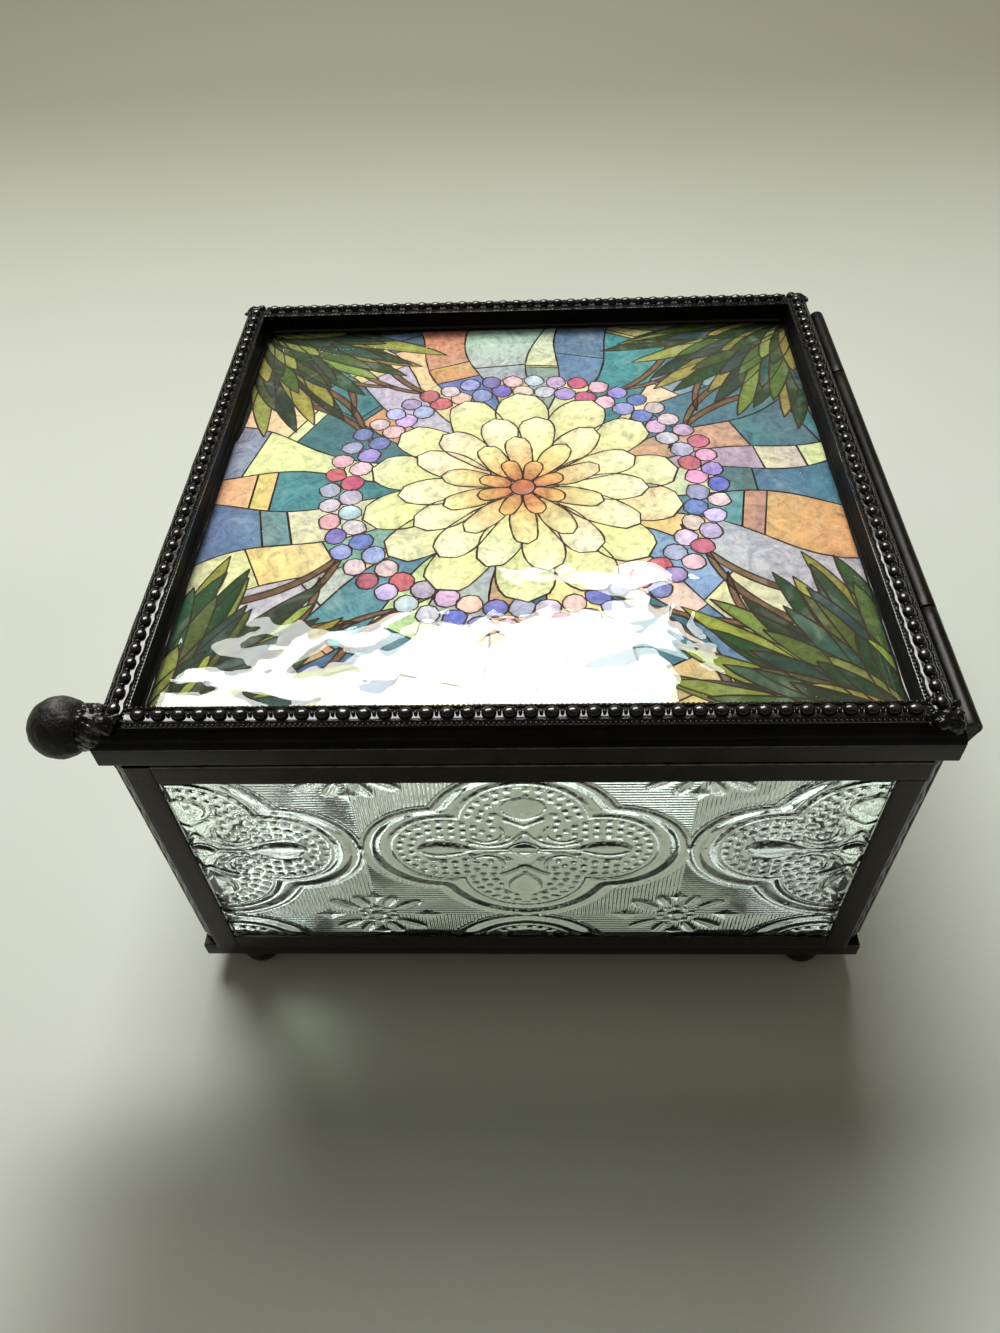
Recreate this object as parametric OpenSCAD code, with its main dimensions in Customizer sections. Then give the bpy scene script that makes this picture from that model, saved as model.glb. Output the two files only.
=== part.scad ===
// Glass keepsake box: four pressed-glass walls in soldered metal came, a framed mirror
// floor on ball feet, and a hinged lid with a glazed panel inside a beaded rim.
// Millimetres. +Z is up, the front (opening) side faces -Y and the hinge is on the +Y side.
// The origin lies on the table under the centre of the closed box's overall size, from the
// lift ball in front to the hinge tubes behind.

/* [Body] */
// Outside width of the box, left to right
body_w = 137.5; // [110:0.5:180]
// Outside depth of the box, front to back
body_d = 140; // [110:0.5:180]
// Height of the four framed glass walls
panel_h = 64.8; // [45:0.2:100]
// Radius of the solder run up the notch at each corner
seam_r = 2.6; // [1.5:0.1:3]

/* [Came] */
// Width of a came's face, seen along the edge of a pane
came_face = 4.8; // [4:0.1:6.5]
// Thickness of a came's two flanges
came_wall = 0.45; // [0.3:0.05:0.7]
// Thickness of a came's closed edge
came_heel = 0.8; // [0.5:0.1:1.4]
// Play between the face of a pane and the flange over it
pane_play = 0.05; // [0.02:0.01:0.12]

/* [Pressed glass] */
// Thickness of the pressed glass behind its relief
glass_t = 2.5; // [2:0.1:3.5]
// Height of the pressed relief over the outer face of the glass
relief_h = 0.4; // [0.2:0.05:0.45]
// Spacing of the medallions along the wall
medallion_w = 59.7; // [50:0.1:70]
// Spacing of the medallions up the wall
medallion_h = 49; // [42:0.1:60]
// Height of the middle row of medallions over the foot of the wall
medallion_z = 38.5; // [20:0.5:50]

/* [Base] */
// Set-back of the base frame from the outside of the box
base_inset = 0.5; // [0:0.1:2]
// Thickness of the mirror floor
mirror_t = 3.2; // [2:0.1:5]
// Radius of the ball feet
foot_r = 4.3; // [3:0.1:6]
// Height of a foot, from the table to the underside of the base
foot_h = 5.8; // [4:0.1:7]
// Radius of the flat that a foot stands on
foot_flat_r = 1.8; // [1:0.1:2.5]
// Distance of a foot's centre from the side edge of the base
foot_inset_x = 4.1; // [4:0.1:20]
// Distance of a foot's centre from the front or back edge of the base
foot_inset_y = 10.7; // [5:0.1:25]

/* [Lid] */
// Gap between the top of the walls and the closed lid
lid_gap = 0.4; // [0.3:0.05:1]
// Thickness of the clear glass on top of the lid
lid_glass_t = 1.8; // [1.5:0.1:3]
// Thickness of the printed sheet under the glass
print_t = 0.25; // [0.15:0.05:0.5]
// Thickness of the white sheet behind the print
backing_t = 1.25; // [0.8:0.05:2.5]
// Width of the rim moulding on the lid
rim_w = 6; // [5:0.1:9]
// Height of the rim moulding
rim_h = 3.7; // [2.5:0.1:5]
// Radius of the rim moulding's rounded outer shoulder
rim_round = 4.8; // [4:0.1:7]

/* [Bead strip] */
// Width of the beaded strip on the rim
strip_w = 4.25; // [3.4:0.05:5]
// Thickness of the strip under its beads
strip_t = 0.6; // [0.4:0.05:1]
// Radius of the large beads
bead_r = 1.2; // [0.9:0.05:1.4]
// Spacing of the large beads
bead_pitch = 3.34; // [3:0.02:4]
// Radius of the small pearl between two beads
pearl_r = 0.42; // [0.25:0.01:0.5]
// Radius of the fine raised edges of the strip
edge_r = 0.34; // [0.2:0.01:0.45]
// Distance from the side of the lid to the ends of the front and back strips
strip_end = 4; // [3:0.1:6]

/* [Lift ball] */
// Radius of the ball that the lid is lifted by
ball_r = 5.4; // [4:0.1:8]
// Distance of the ball's centre from the right side of the lid
ball_inset = 4; // [3.5:0.1:60]
// Distance of the ball's surface from the front of the lid
ball_gap = 0.1; // [0:0.1:2]
// Height of the ball's centre over the underside of the lid
ball_z = 5.6; // [4:0.1:8]
// Radius of the solder neck where it meets the lid
neck_r = 4; // [3:0.1:4.2]

/* [Hinge] */
// Outside radius of the hinge tubes
tube_r = 1.8; // [1.5:0.05:2.5]
// Wall of the hinge tubes
tube_wall = 0.55; // [0.35:0.05:0.8]
// Radial play of the rod in the tubes
rod_play = 0.05; // [0.02:0.01:0.1]
// Gap between the hinge tubes and the back of the lid
hinge_gap = 0.3; // [0.2:0.05:1]
// Height of the hinge line over the underside of the lid
hinge_rise = 3.2; // [2.2:0.1:4]
// Length of each end tube, which is soldered to the body
end_tube_l = 26.5; // [12:0.5:40]
// Distance from the side of the box to the end of the hinge
hinge_end = 4; // [1:0.1:15]
// Gap between one tube and the next
tube_gap = 0.3; // [0.2:0.05:1]

/* [Hidden] */
SIDES = ["front", "right", "back", "left"];
ENDS = ["left", "right"];
DEPTHS = ["front", "back"];
WALL_PIECES = ["glass", "top_came", "bottom_came", "left_came", "right_came"];
LID_EDGE_PIECES = ["came", "rim", "bead_strip"];
CORNERS = [for (depth = DEPTHS) for (end = ENDS) str(depth, "_", end)];

$fn = 48;
eps = 0.01;

wall_t = came_thickness(glass_t);
base_h = came_thickness(mirror_t);
lid_stack = lid_glass_t + print_t + backing_t;
lid_band_h = came_thickness(lid_stack);
base_w = body_w - 2 * base_inset;
base_d = body_d - 2 * base_inset;
wall_z = foot_h + base_h;
wall_top = wall_z + panel_h;
lid_z = wall_top + lid_gap;
rim_z = lid_z + lid_band_h;
strip_z = rim_z + rim_h;
strip_inset = rim_w - strip_w;
pane_edge = came_heel + pane_play;
hinge_y = body_d / 2 + hinge_gap + tube_r;
hinge_z = lid_z + hinge_rise;
bore_r = tube_r - tube_wall;
hinge_l = body_w - 2 * hinge_end;
lid_tube_l = hinge_l - 2 * (end_tube_l + tube_gap);
ball_x = body_w / 2 - ball_inset;
ball_y = -(body_d / 2 + ball_gap + ball_r);
ball_top = lid_z + ball_z;
overall_x = [-body_w / 2, max(body_w / 2, ball_x + ball_r)];
overall_y = [ball_y - ball_r, hinge_y + tube_r];

// Overall thickness of a came that holds a pane, or a stack of panes, of thickness pane_t
function came_thickness(pane_t) = pane_t + 2 * (pane_play + came_wall);
function side_turn(side) = 90 * search([side], SIDES)[0];
function is_cross(side) = side == "front" || side == "back";
function side_out(side, w, d) = (is_cross(side) ? d : w) / 2;
function side_length(side, w, d) = is_cross(side) ? w : d;
function end_sign(name) = (name == "left" || name == "front") ? -1 : 1;

// Every piece is drawn about the centre of the body, and this moves it to the part's origin
module from_origin() {
    translate([-(overall_x[0] + overall_x[1]) / 2, -(overall_y[0] + overall_y[1]) / 2, 0])
        children();
}

// Puts a child on one side of a w by d rectangle: its x runs along that side, its y inwards
module at_side(side, w, d, z) {
    rotate([0, 0, side_turn(side)])
        translate([0, -side_out(side, w, d), z])
            children();
}

// Puts a child that is drawn for the back right corner at the named corner of the box
module at_corner(depth, end) {
    mirror([end_sign(end) < 0 ? 1 : 0, 0, 0])
        mirror([0, end_sign(depth) < 0 ? 1 : 0, 0])
            children();
}

// Section of a came: x from its closed edge inwards, y across its thickness
module came_section(pane_t) {
    t = came_thickness(pane_t);
    slot = pane_t + 2 * pane_play;
    difference() {
        translate([0, -t / 2]) square([came_face, t]);
        translate([came_heel, -slot / 2]) square([came_face, slot]);
    }
}

// A length of came along x, its closed edge at y = 0 and its channel open towards +y
module came_bar(length, pane_t) {
    rotate([90, 0, 90])
        linear_extrude(length, center = true) came_section(pane_t);
}

// Almond shape between two equal arcs, along x
module almond(length, width) {
    r = (length * length + width * width) / (4 * width);
    intersection() {
        translate([0, r - width / 2]) circle(r);
        translate([0, width / 2 - r]) circle(r);
    }
}

// Four-lobed outline of a medallion's border: t is 0 at its inner edge and 1 at its outer edge
module lobes(t) {
    for (s = [-1, 1]) {
        translate([s * (14.1 + 1.9 * t), 0]) circle(10.3 + 3.3 * t);
        translate([0, s * (8.95 - 2.1 * t)]) circle(11.45 + 6.1 * t);
    }
}

module lobed_band(from, to) {
    difference() {
        lobes(to);
        lobes(from);
    }
}

// Scroll beside the lens of a medallion, open away from the middle
module scroll() {
    difference() {
        circle(3.7);
        circle(2.8);
        rotate(-45) translate([0.8, 0]) square(4);
        rotate(-45) mirror([0, 1]) translate([0.8, -eps]) square(4);
    }
}

// One pressed medallion: a fine and a bold lobed ridge round a lens, scrolls and four leaves
module medallion() {
    lobed_band(0, 0.14);
    lobed_band(0.62, 1);
    difference() {
        almond(6.8, 5.2);
        almond(5.8, 4.3);
    }
    almond(4.6, 3.3);
    for (s = [-1, 1]) {
        translate([s * 14.2, 0]) almond(10.4, 4.4);
        for (t = [-1, 1])
            translate([s * 6.9, t * 5.7]) mirror([s < 0 ? 1 : 0, 0]) scroll();
    }
    translate([0, 13.6]) rotate(90) almond(7, 6.2);
    translate([0, -12.6]) rotate(90) almond(8, 5.6);
}

// Flower pressed between four medallions: long petals along its axes and shorter ones between
module star_flower() {
    core = 2.6;
    for (i = [0 : 11]) {
        on_axis = i % 3 == 0;
        tip = [14 * cos(30 * i), 9.4 * sin(30 * i)] * (on_axis ? 1 : 0.9);
        reach = norm(tip);
        rotate(atan2(tip.y, tip.x))
            translate([(reach + core) / 2, 0])
                almond(reach - core, on_axis ? 2.8 : 2.2);
    }
    circle(1.8);
}

module relief(length) {
    window_w = length - 2 * came_face - 0.6;
    window_h = panel_h - 2 * came_face - 0.6;
    intersection() {
        translate([-window_w / 2, (panel_h - window_h) / 2]) square([window_w, window_h]);
        union() {
            for (i = [-1 : 1]) for (j = [-1 : 0])
                translate([i * medallion_w, medallion_z + j * medallion_h]) medallion();
            for (i = [-1 : 2 : 1]) for (j = [-1 : 2 : 1])
                translate([i * medallion_w / 2, medallion_z + j * medallion_h / 2]) star_flower();
        }
    }
}

// Pressed pane of one wall: a plate with its relief on the outer face
module wall_glass(side) {
    inner_w = body_w - 2 * wall_t;
    inner_d = body_d - 2 * wall_t;
    length = side_length(side, inner_w, inner_d);
    pane = [length - 2 * pane_edge, glass_t, panel_h - 2 * pane_edge];
    color([0.74, 0.82, 0.78, 0.6])
        at_side(side, body_w, body_d, wall_z) {
            translate([-pane.x / 2, (wall_t - glass_t) / 2, pane_edge]) cube(pane);
            if (relief_h > 0)
                translate([0, wall_t / 2, 0]) rotate([90, 0, 0])
                    linear_extrude(glass_t / 2 + relief_h) relief(length);
        }
}

// Came on one edge of a wall. The left came runs the full height, the top came runs from it
// to the far end, the right came stands under the top came, and the bottom one fits between.
module wall_came(side, edge) {
    inner_w = body_w - 2 * wall_t;
    inner_d = body_d - 2 * wall_t;
    length = side_length(side, inner_w, inner_d);
    color([0.17, 0.15, 0.14])
        at_side(side, body_w, body_d, wall_z)
            translate([0, wall_t / 2, 0]) {
                if (edge == "left")
                    translate([-length / 2, 0, panel_h / 2])
                        rotate([0, -90, 0]) rotate([-90, 0, 0]) came_bar(panel_h, glass_t);
                if (edge == "right")
                    translate([length / 2, 0, (panel_h - came_face) / 2])
                        rotate([0, -90, 0]) rotate([90, 0, 0]) came_bar(panel_h - came_face, glass_t);
                if (edge == "top")
                    translate([came_face / 2, 0, panel_h])
                        rotate([-90, 0, 0]) came_bar(length - came_face, glass_t);
                if (edge == "bottom")
                    rotate([90, 0, 0]) came_bar(length - 2 * came_face, glass_t);
            }
}

// Run of solder up the notch between two walls
module corner_seam(depth, end) {
    inner_x = body_w / 2 - wall_t;
    inner_y = body_d / 2 - wall_t;
    color([0.2, 0.18, 0.17])
        at_corner(depth, end)
            translate([inner_x, inner_y, wall_z])
                intersection() {
                    cylinder(h = panel_h, r = seam_r);
                    cube([wall_t, wall_t, panel_h]);
                }
}

// Mirror that closes the bottom of the box
module base_mirror() {
    mirror_w = base_w - 2 * pane_edge;
    mirror_d = base_d - 2 * pane_edge;
    color([0.75, 0.78, 0.8])
        translate([-mirror_w / 2, -mirror_d / 2, foot_h + (base_h - mirror_t) / 2])
            cube([mirror_w, mirror_d, mirror_t]);
}

// Came round the base: the left and right lengths run through, the others fit between
module base_came(side) {
    color([0.12, 0.11, 0.11])
        at_side(side, base_w, base_d, foot_h + base_h / 2)
            came_bar(side_length(side, base_w - 2 * came_face, base_d), mirror_t);
}

// Cast ball foot with a flat where it stands and a flat where it is soldered on
module foot(depth, end) {
    centre_z = sqrt(foot_r * foot_r - foot_flat_r * foot_flat_r);
    color([0.1, 0.1, 0.1])
        at_corner(depth, end)
            translate([base_w / 2 - foot_inset_x, base_d / 2 - foot_inset_y, 0])
                intersection() {
                    translate([0, 0, centre_z]) sphere(foot_r);
                    cylinder(h = foot_h, r = 2 * foot_r);
                }
}

// A length of hinge tube round the hinge line
module hinge_tube(length) {
    translate([0, hinge_y, hinge_z]) rotate([0, 90, 0])
        cylinder(h = length, r = tube_r, center = true);
}

module hinge_bore(length) {
    translate([0, hinge_y, hinge_z]) rotate([0, 90, 0])
        cylinder(h = length, r = bore_r, center = true);
}

// End tube of the hinge with the solder web that holds it to the back wall
module body_knuckle(end) {
    back = body_d / 2;
    web_foot = came_face - 0.4;
    centre_x = hinge_l / 2 - end_tube_l / 2;
    web_l = min(end_tube_l, 2 * (body_w / 2 - wall_t - centre_x));
    color([0.11, 0.11, 0.11])
        translate([end_sign(end) * centre_x, 0, 0])
            difference() {
                union() {
                    hinge_tube(end_tube_l);
                    rotate([90, 0, 90])
                        linear_extrude(web_l, center = true)
                            polygon([
                                [back, wall_top - web_foot],
                                [back + hinge_gap + 0.9, wall_top - web_foot + 0.9],
                                [hinge_y + tube_r * 0.8, hinge_z],
                                [back + hinge_gap + 0.7, hinge_z],
                                [back + hinge_gap, lid_z - 0.1],
                                [back, wall_top - 0.2],
                            ]);
                }
                hinge_bore(end_tube_l + 1);
            }
}

// Middle tube of the hinge with the solder that holds it to the back of the lid
module lid_hinge_knuckle() {
    back = body_d / 2;
    fillet_h = tube_r;
    color([0.11, 0.11, 0.11])
        difference() {
            union() {
                hinge_tube(lid_tube_l);
                translate([-lid_tube_l / 2, back, hinge_z - fillet_h / 2])
                    cube([lid_tube_l, hinge_y - back, fillet_h]);
            }
            hinge_bore(lid_tube_l + 1);
        }
}

module hinge_rod() {
    color([0.35, 0.33, 0.3])
        translate([0, hinge_y, hinge_z]) rotate([0, 90, 0])
            cylinder(h = hinge_l, r = bore_r - rod_play, center = true);
}

// Sheet of the lid's glazing: level counts up from the underside of the stack
module lid_sheet(level, thickness) {
    sheet_w = body_w - 2 * pane_edge;
    sheet_d = body_d - 2 * pane_edge;
    stack_z = lid_z + (lid_band_h - lid_stack) / 2;
    translate([-sheet_w / 2, -sheet_d / 2, stack_z + level])
        cube([sheet_w, sheet_d, thickness]);
}

module lid_backing() {
    color([0.8, 0.78, 0.72]) lid_sheet(0, backing_t);
}

module lid_print() {
    color([0.85, 0.82, 0.62]) lid_sheet(backing_t, print_t);
}

module lid_glass() {
    color([0.8, 0.86, 0.84, 0.4]) lid_sheet(backing_t + print_t, lid_glass_t);
}

// Came round the lid: the left and right lengths run through, the others fit between
module lid_came(side) {
    color([0.17, 0.15, 0.14])
        at_side(side, body_w, body_d, lid_z + lid_band_h / 2)
            came_bar(side_length(side, body_w - 2 * came_face, body_d), lid_stack);
}

// Section of the rim: x from the outside of the lid inwards, y up from the came
module rim_section() {
    intersection() {
        square([rim_w, rim_h]);
        union() {
            translate([rim_round, 0]) circle(rim_round);
            translate([rim_round, 0]) square(rim_w);
        }
    }
}

module rim_bar(length) {
    rotate([90, 0, 90])
        linear_extrude(length, center = true) rim_section();
}

// Rounded rim moulding on one side of the lid, mitred at both ends
module lid_rim(side) {
    length = side_length(side, body_w, body_d);
    color([0.05, 0.05, 0.05])
        at_side(side, body_w, body_d, rim_z)
            intersection() {
                rim_bar(length);
                linear_extrude(rim_h + 1)
                    polygon([
                        [-length / 2, 0],
                        [length / 2, 0],
                        [length / 2 - rim_w, rim_w],
                        [rim_w - length / 2, rim_w],
                    ]);
            }
}

// Beaded gallery strip along x: a band with raised edges and a row of beads and pearls
module bead_strip(length) {
    beads = floor((length - 2 * bead_r) / bead_pitch) + 1;
    first = -(beads - 1) / 2 * bead_pitch;
    intersection() {
        translate([-length / 2, 0, 0]) cube([length, strip_w, strip_t + bead_r + 1]);
        union() {
            translate([-length / 2, 0, 0]) cube([length, strip_w, strip_t]);
            for (y = [edge_r, strip_w - edge_r])
                translate([0, y, strip_t]) rotate([0, 90, 0])
                    cylinder(h = length, r = edge_r, center = true);
            for (i = [0 : beads - 1])
                translate([first + i * bead_pitch, strip_w / 2, strip_t]) sphere(bead_r);
            for (i = [0 : beads - 2])
                translate([first + (i + 0.5) * bead_pitch, strip_w / 2, strip_t]) sphere(pearl_r);
        }
    }
}

// The front and back strips run through, and the left and right ones fit between them
module lid_bead_strip(side) {
    length = side_length(side, body_w - 2 * strip_end, body_d - 2 * rim_w);
    color([0.06, 0.06, 0.06])
        at_side(side, body_w, body_d, strip_z)
            translate([0, strip_inset, 0]) bead_strip(length);
}

// Lump of solder over a rim corner, between the outer corner and the ends of the strips
module solder_lump(depth, end) {
    at_corner(depth, end)
        intersection() {
            translate([body_w / 2, body_d / 2, strip_z]) {
                translate([-2.5, -3.4, -0.3]) sphere(2.3);
                translate([-2.3, -2, -0.7]) sphere(1.8);
            }
            translate([body_w / 2 - strip_end, body_d / 2 - rim_w, rim_z])
                cube([strip_end, rim_w, rim_h + strip_t + 2 * bead_r]);
        }
}

// Both rim bars that meet in a corner, run through, as the space solder can't fill
module rim_cross() {
    for (side = SIDES)
        at_side(side, body_w, body_d, rim_z)
            rim_bar(side_length(side, body_w, body_d));
}

// Solder over the three lid corners that don't carry the ball
module lid_corner_solder() {
    color([0.07, 0.07, 0.07])
        difference() {
            union() {
                solder_lump("front", "left");
                solder_lump("back", "left");
                solder_lump("back", "right");
            }
            rim_cross();
        }
}

// Cast ball by which the lid is lifted
module lift_ball() {
    color([0.16, 0.16, 0.16])
        translate([ball_x, ball_y, ball_top]) sphere(ball_r);
}

// Neck of solder between the ball and the front right corner of the lid
module lift_ball_solder() {
    front = -body_d / 2;
    waist_y = ball_y + ball_r * 0.52;
    color([0.09, 0.09, 0.09])
        difference() {
            union() {
                solder_lump("front", "right");
                translate([ball_x, waist_y, ball_top]) rotate([-90, 0, 0])
                    cylinder(h = front - waist_y, r1 = neck_r * 0.85, r2 = neck_r);
                translate([ball_x, front - eps, ball_top]) rotate([-90, 0, 0])
                    cylinder(h = strip_inset, r = neck_r);
            }
            translate([ball_x, ball_y, ball_top]) sphere(ball_r);
            translate([-body_w / 2, front, lid_z]) cube([body_w, body_d, lid_band_h]);
            rim_cross();
        }
}

from_origin() {
    for (side = SIDES) {
        wall_glass(side);
        wall_came(side, "top");
        wall_came(side, "bottom");
        wall_came(side, "left");
        wall_came(side, "right");
        base_came(side);
        lid_came(side);
        lid_rim(side);
        lid_bead_strip(side);
    }
    for (depth = DEPTHS) for (end = ENDS) {
        corner_seam(depth, end);
        foot(depth, end);
    }
    for (end = ENDS)
        body_knuckle(end);
    base_mirror();
    hinge_rod();
    lid_hinge_knuckle();
    lid_glass();
    lid_print();
    lid_backing();
    lid_corner_solder();
    lift_ball();
    lift_ball_solder();
}
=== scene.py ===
import math

import bmesh
import bpy
import numpy as np
from mathutils import Matrix, Quaternion, Vector


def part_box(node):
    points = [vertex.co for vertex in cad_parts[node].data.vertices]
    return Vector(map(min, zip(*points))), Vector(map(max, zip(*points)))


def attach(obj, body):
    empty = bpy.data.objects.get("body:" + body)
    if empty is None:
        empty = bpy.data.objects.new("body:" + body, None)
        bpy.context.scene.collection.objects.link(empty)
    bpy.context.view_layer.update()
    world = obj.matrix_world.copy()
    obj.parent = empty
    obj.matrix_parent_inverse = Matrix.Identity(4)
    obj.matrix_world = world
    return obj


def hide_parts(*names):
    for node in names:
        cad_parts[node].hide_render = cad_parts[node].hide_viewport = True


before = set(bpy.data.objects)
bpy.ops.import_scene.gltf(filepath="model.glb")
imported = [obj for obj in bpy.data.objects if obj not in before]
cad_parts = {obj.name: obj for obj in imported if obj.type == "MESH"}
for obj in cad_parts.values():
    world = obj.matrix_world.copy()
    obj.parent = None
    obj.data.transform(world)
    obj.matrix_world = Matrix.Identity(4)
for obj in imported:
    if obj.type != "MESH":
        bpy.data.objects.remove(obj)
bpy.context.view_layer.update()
bpy.ops.object.select_all(action="DESELECT")

# ---- Mirror floor ----
# A square of mirror glass, 3.2 mm thick, closes the bottom of the box. Its silvered face
# looks up into the box, and its back is painted grey. The base came holds it round its edge.
MM = 0.001
low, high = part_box("base_mirror")
CENTRE_X = (low.x + high.x) / 2 / MM
CENTRE_Y = (low.y + high.y) / 2 / MM


class Value:
    """One output of a node, in which sums can be written."""

    def __init__(self, nodes, socket):
        self.nodes = nodes
        self.socket = socket

    def __add__(self, other):
        return self.nodes.sum("ADD", self, other)

    def __sub__(self, other):
        return self.nodes.sum("SUBTRACT", self, other)

    def __rsub__(self, other):
        return self.nodes.sum("SUBTRACT", other, self)

    def __mul__(self, other):
        return self.nodes.sum("MULTIPLY", self, other)

    __radd__ = __add__
    __rmul__ = __mul__


class Nodes:
    """A node tree: any node comes from add, and the rest are the kinds that come often."""

    def __init__(self, tree):
        self.tree = tree

    def put(self, socket, value):
        if isinstance(value, Value):
            self.tree.links.new(value.socket, socket)
        else:
            socket.default_value = value

    def add(self, kind, settings=(), inputs=(), output=0):
        """A node of any kind: its settings first, then the values or links of its sockets."""
        node = self.tree.nodes.new(kind)
        for name, value in dict(settings).items():
            if name == "stops":
                while len(node.color_ramp.elements) < len(value):
                    node.color_ramp.elements.new(0.5)
                for element, (position, colour) in zip(node.color_ramp.elements, value):
                    element.position = position
                    element.color = (*colour, 1)
            else:
                setattr(node, name, value)
        for name, value in dict(inputs).items():
            self.put(node.inputs[name], value)
        return Value(self, node.outputs[output])

    def sum(self, operation, first, second=0.0, third=0.0):
        numbers = {0: first, 1: second, 2: third}
        return self.add("ShaderNodeMath", {"operation": operation}, numbers)

    def ramp(self, value, stops):
        return self.add("ShaderNodeValToRGB", {"stops": stops}, {0: value})

    def spread(self, value, start, end, low=0.0, high=1.0, kind="LINEAR"):
        """low where value is start and high where it is end, and never beyond them."""
        limits = {"From Min": start, "From Max": end, "To Min": low, "To Max": high}
        return self.add(
            "ShaderNodeMapRange", {"interpolation_type": kind}, {"Value": value, **limits}
        )

    def rise(self, value, start, end):
        """0 where value is under start and 1 where it is over end, with a soft step between."""
        return self.spread(value, start, end, kind="SMOOTHSTEP")

    def blend(self, factor, first, second, kind="MIX"):
        settings = {"data_type": "RGBA", "blend_type": kind}
        return self.add("ShaderNodeMix", settings, {0: factor, 6: first, 7: second}, 2)


class Finish(Nodes):
    """A material, with the nodes that make its colour, its gloss and its relief."""

    def __init__(self, name, **constants):
        self.material = bpy.data.materials.new(name)
        self.material.use_nodes = True
        super().__init__(self.material.node_tree)
        self.shader = self.tree.nodes["Principled BSDF"]
        for socket, value in constants.items():
            self.set(socket.replace("_", " "), value)
        place = self.add("ShaderNodeTexCoord", output="Object")
        inputs = {0: place, "Scale": 1 / MM}
        self.place = self.add("ShaderNodeVectorMath", {"operation": "SCALE"}, inputs)

    def set(self, name, value):
        self.put(self.shader.inputs[name], value)

    def mottle(self, size, detail=3.0, distortion=0.0, roughness=0.5):
        """Cloudy noise from 0 to 1, its patches about size millimetres across."""
        inputs = {"Vector": self.place, "Scale": 1 / size, "Detail": detail}
        inputs.update({"Distortion": distortion, "Roughness": roughness})
        return self.add("ShaderNodeTexNoise", {}, inputs)

    def attribute(self, name, output="Fac"):
        return self.add("ShaderNodeAttribute", {"attribute_name": name}, output=output)

    def axes(self):
        parts = self.add("ShaderNodeSeparateXYZ", {}, {0: self.place}).socket.node.outputs
        return [Value(self, part) for part in parts]

    def relief(self, height, depth):
        """Relief from a height of 0 to 1, which stands for depth millimetres."""
        self.set(
            "Normal", self.add("ShaderNodeBump", {}, {"Height": height, "Distance": depth * MM})
        )

    def mixed(self, factor, kind, tint):
        """Mixes in a second shader of one tint, by factor."""
        second = self.add(kind, {}, {"Color": (*tint, 1)})
        first = Value(self, self.shader.outputs[0])
        both = self.add("ShaderNodeMixShader", {}, {0: factor, 1: first, 2: second})
        self.put(self.tree.nodes["Material Output"].inputs["Surface"], both)


silvering = Finish("mirror_silvering")
facing = silvering.add("ShaderNodeNewGeometry", output="Normal")
upward = silvering.add("ShaderNodeSeparateXYZ", {}, {0: facing}, 2)
silvered = silvering.rise(upward, 0.4, 0.6)
smears = silvering.rise(silvering.mottle(9, 5, 1.5), 0.5, 0.72)
specks = silvering.rise(silvering.mottle(0.9, 2), 0.68, 0.74)
silver = silvering.ramp(smears, [(0, (0.92, 0.94, 0.93)), (1, (0.86, 0.88, 0.86))])
paint = silvering.ramp(silvering.mottle(3, 5), [(0.3, (0.2, 0.2, 0.2)), (0.7, (0.27, 0.27, 0.26))])
silvering.set("Base Color", silvering.blend(silvered, paint, silver))
silvering.set("Metallic", silvered * (1 - specks * 0.5))
silvering.set("Roughness", 0.55 - silvered * 0.5 + smears * 0.06 + specks * 0.2)
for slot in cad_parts["base_mirror"].material_slots:
    slot.material = silvering.material

# ---- Base frame ----
# Four lengths of U-shaped lead came grip the mirror. They are butted at the corners, the side
# lengths running through, soldered, and blackened with patina.
CAME_FACE = 4.8
CAME_WALL = 0.45
CAME_HEEL = 0.8
HEEL_ROUND = 0.4
LIP_ROUND = 0.16
PANE_PLAY = 0.05
BODY_W = 137.5
BODY_D = 140.0
FOOT_H = 5.8
MIRROR_T = 3.2
BASE_INSET = 0.5
SIDES = ("front", "right", "back", "left")


def pick(kind, wanted):
    """In edit mode, selects the faces, edges or vertices for which wanted is true."""
    bpy.ops.mesh.select_all(action="DESELECT")
    bpy.ops.mesh.select_mode(type=kind)
    shape = bmesh.from_edit_mesh(bpy.context.object.data)
    for item in {"VERT": shape.verts, "EDGE": shape.edges, "FACE": shape.faces}[kind]:
        if wanted(item):
            item.select_set(True)
    shape.select_flush_mode()
    bmesh.update_edit_mesh(bpy.context.object.data)


def rounded(points, radii, steps=3):
    """The corners of a section, each rounded to its own radius, with points between them."""
    outline = []
    for i, (corner, radius) in enumerate(zip(points, radii)):
        corner = Vector(corner)
        before = (Vector(points[i - 1]) - corner).normalized()
        after = (Vector(points[(i + 1) % len(points)]) - corner).normalized()
        if radius == 0:
            outline.append(corner)
            continue
        for step in range(steps + 1):
            t = step / steps
            start, end = corner + before * radius, corner + after * radius
            outline.append(start * (1 - t) ** 2 + corner * 2 * t * (1 - t) + end * t**2)
    finer = []
    for here, there in zip(outline, outline[1:] + outline[:1]):
        parts = math.ceil((there - here).length / 1.2)
        finer += [here.lerp(there, k / parts) for k in range(parts)]
    return finer


def fresh(name):
    """The object just added, named, with its place, turn and size put in its mesh."""
    piece = bpy.context.object
    bpy.ops.object.transform_apply(location=True, rotation=True, scale=True)
    piece.name = piece.data.name = name
    return piece


def modify(piece, kind, **settings):
    """Gives a piece a modifier with its settings, and applies it."""
    modifier = piece.modifiers.new(kind, kind)
    for name, value in settings.items():
        setattr(modifier, name, value)
    bpy.context.view_layer.objects.active = piece
    bpy.ops.object.modifier_apply(modifier=modifier.name)


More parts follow.
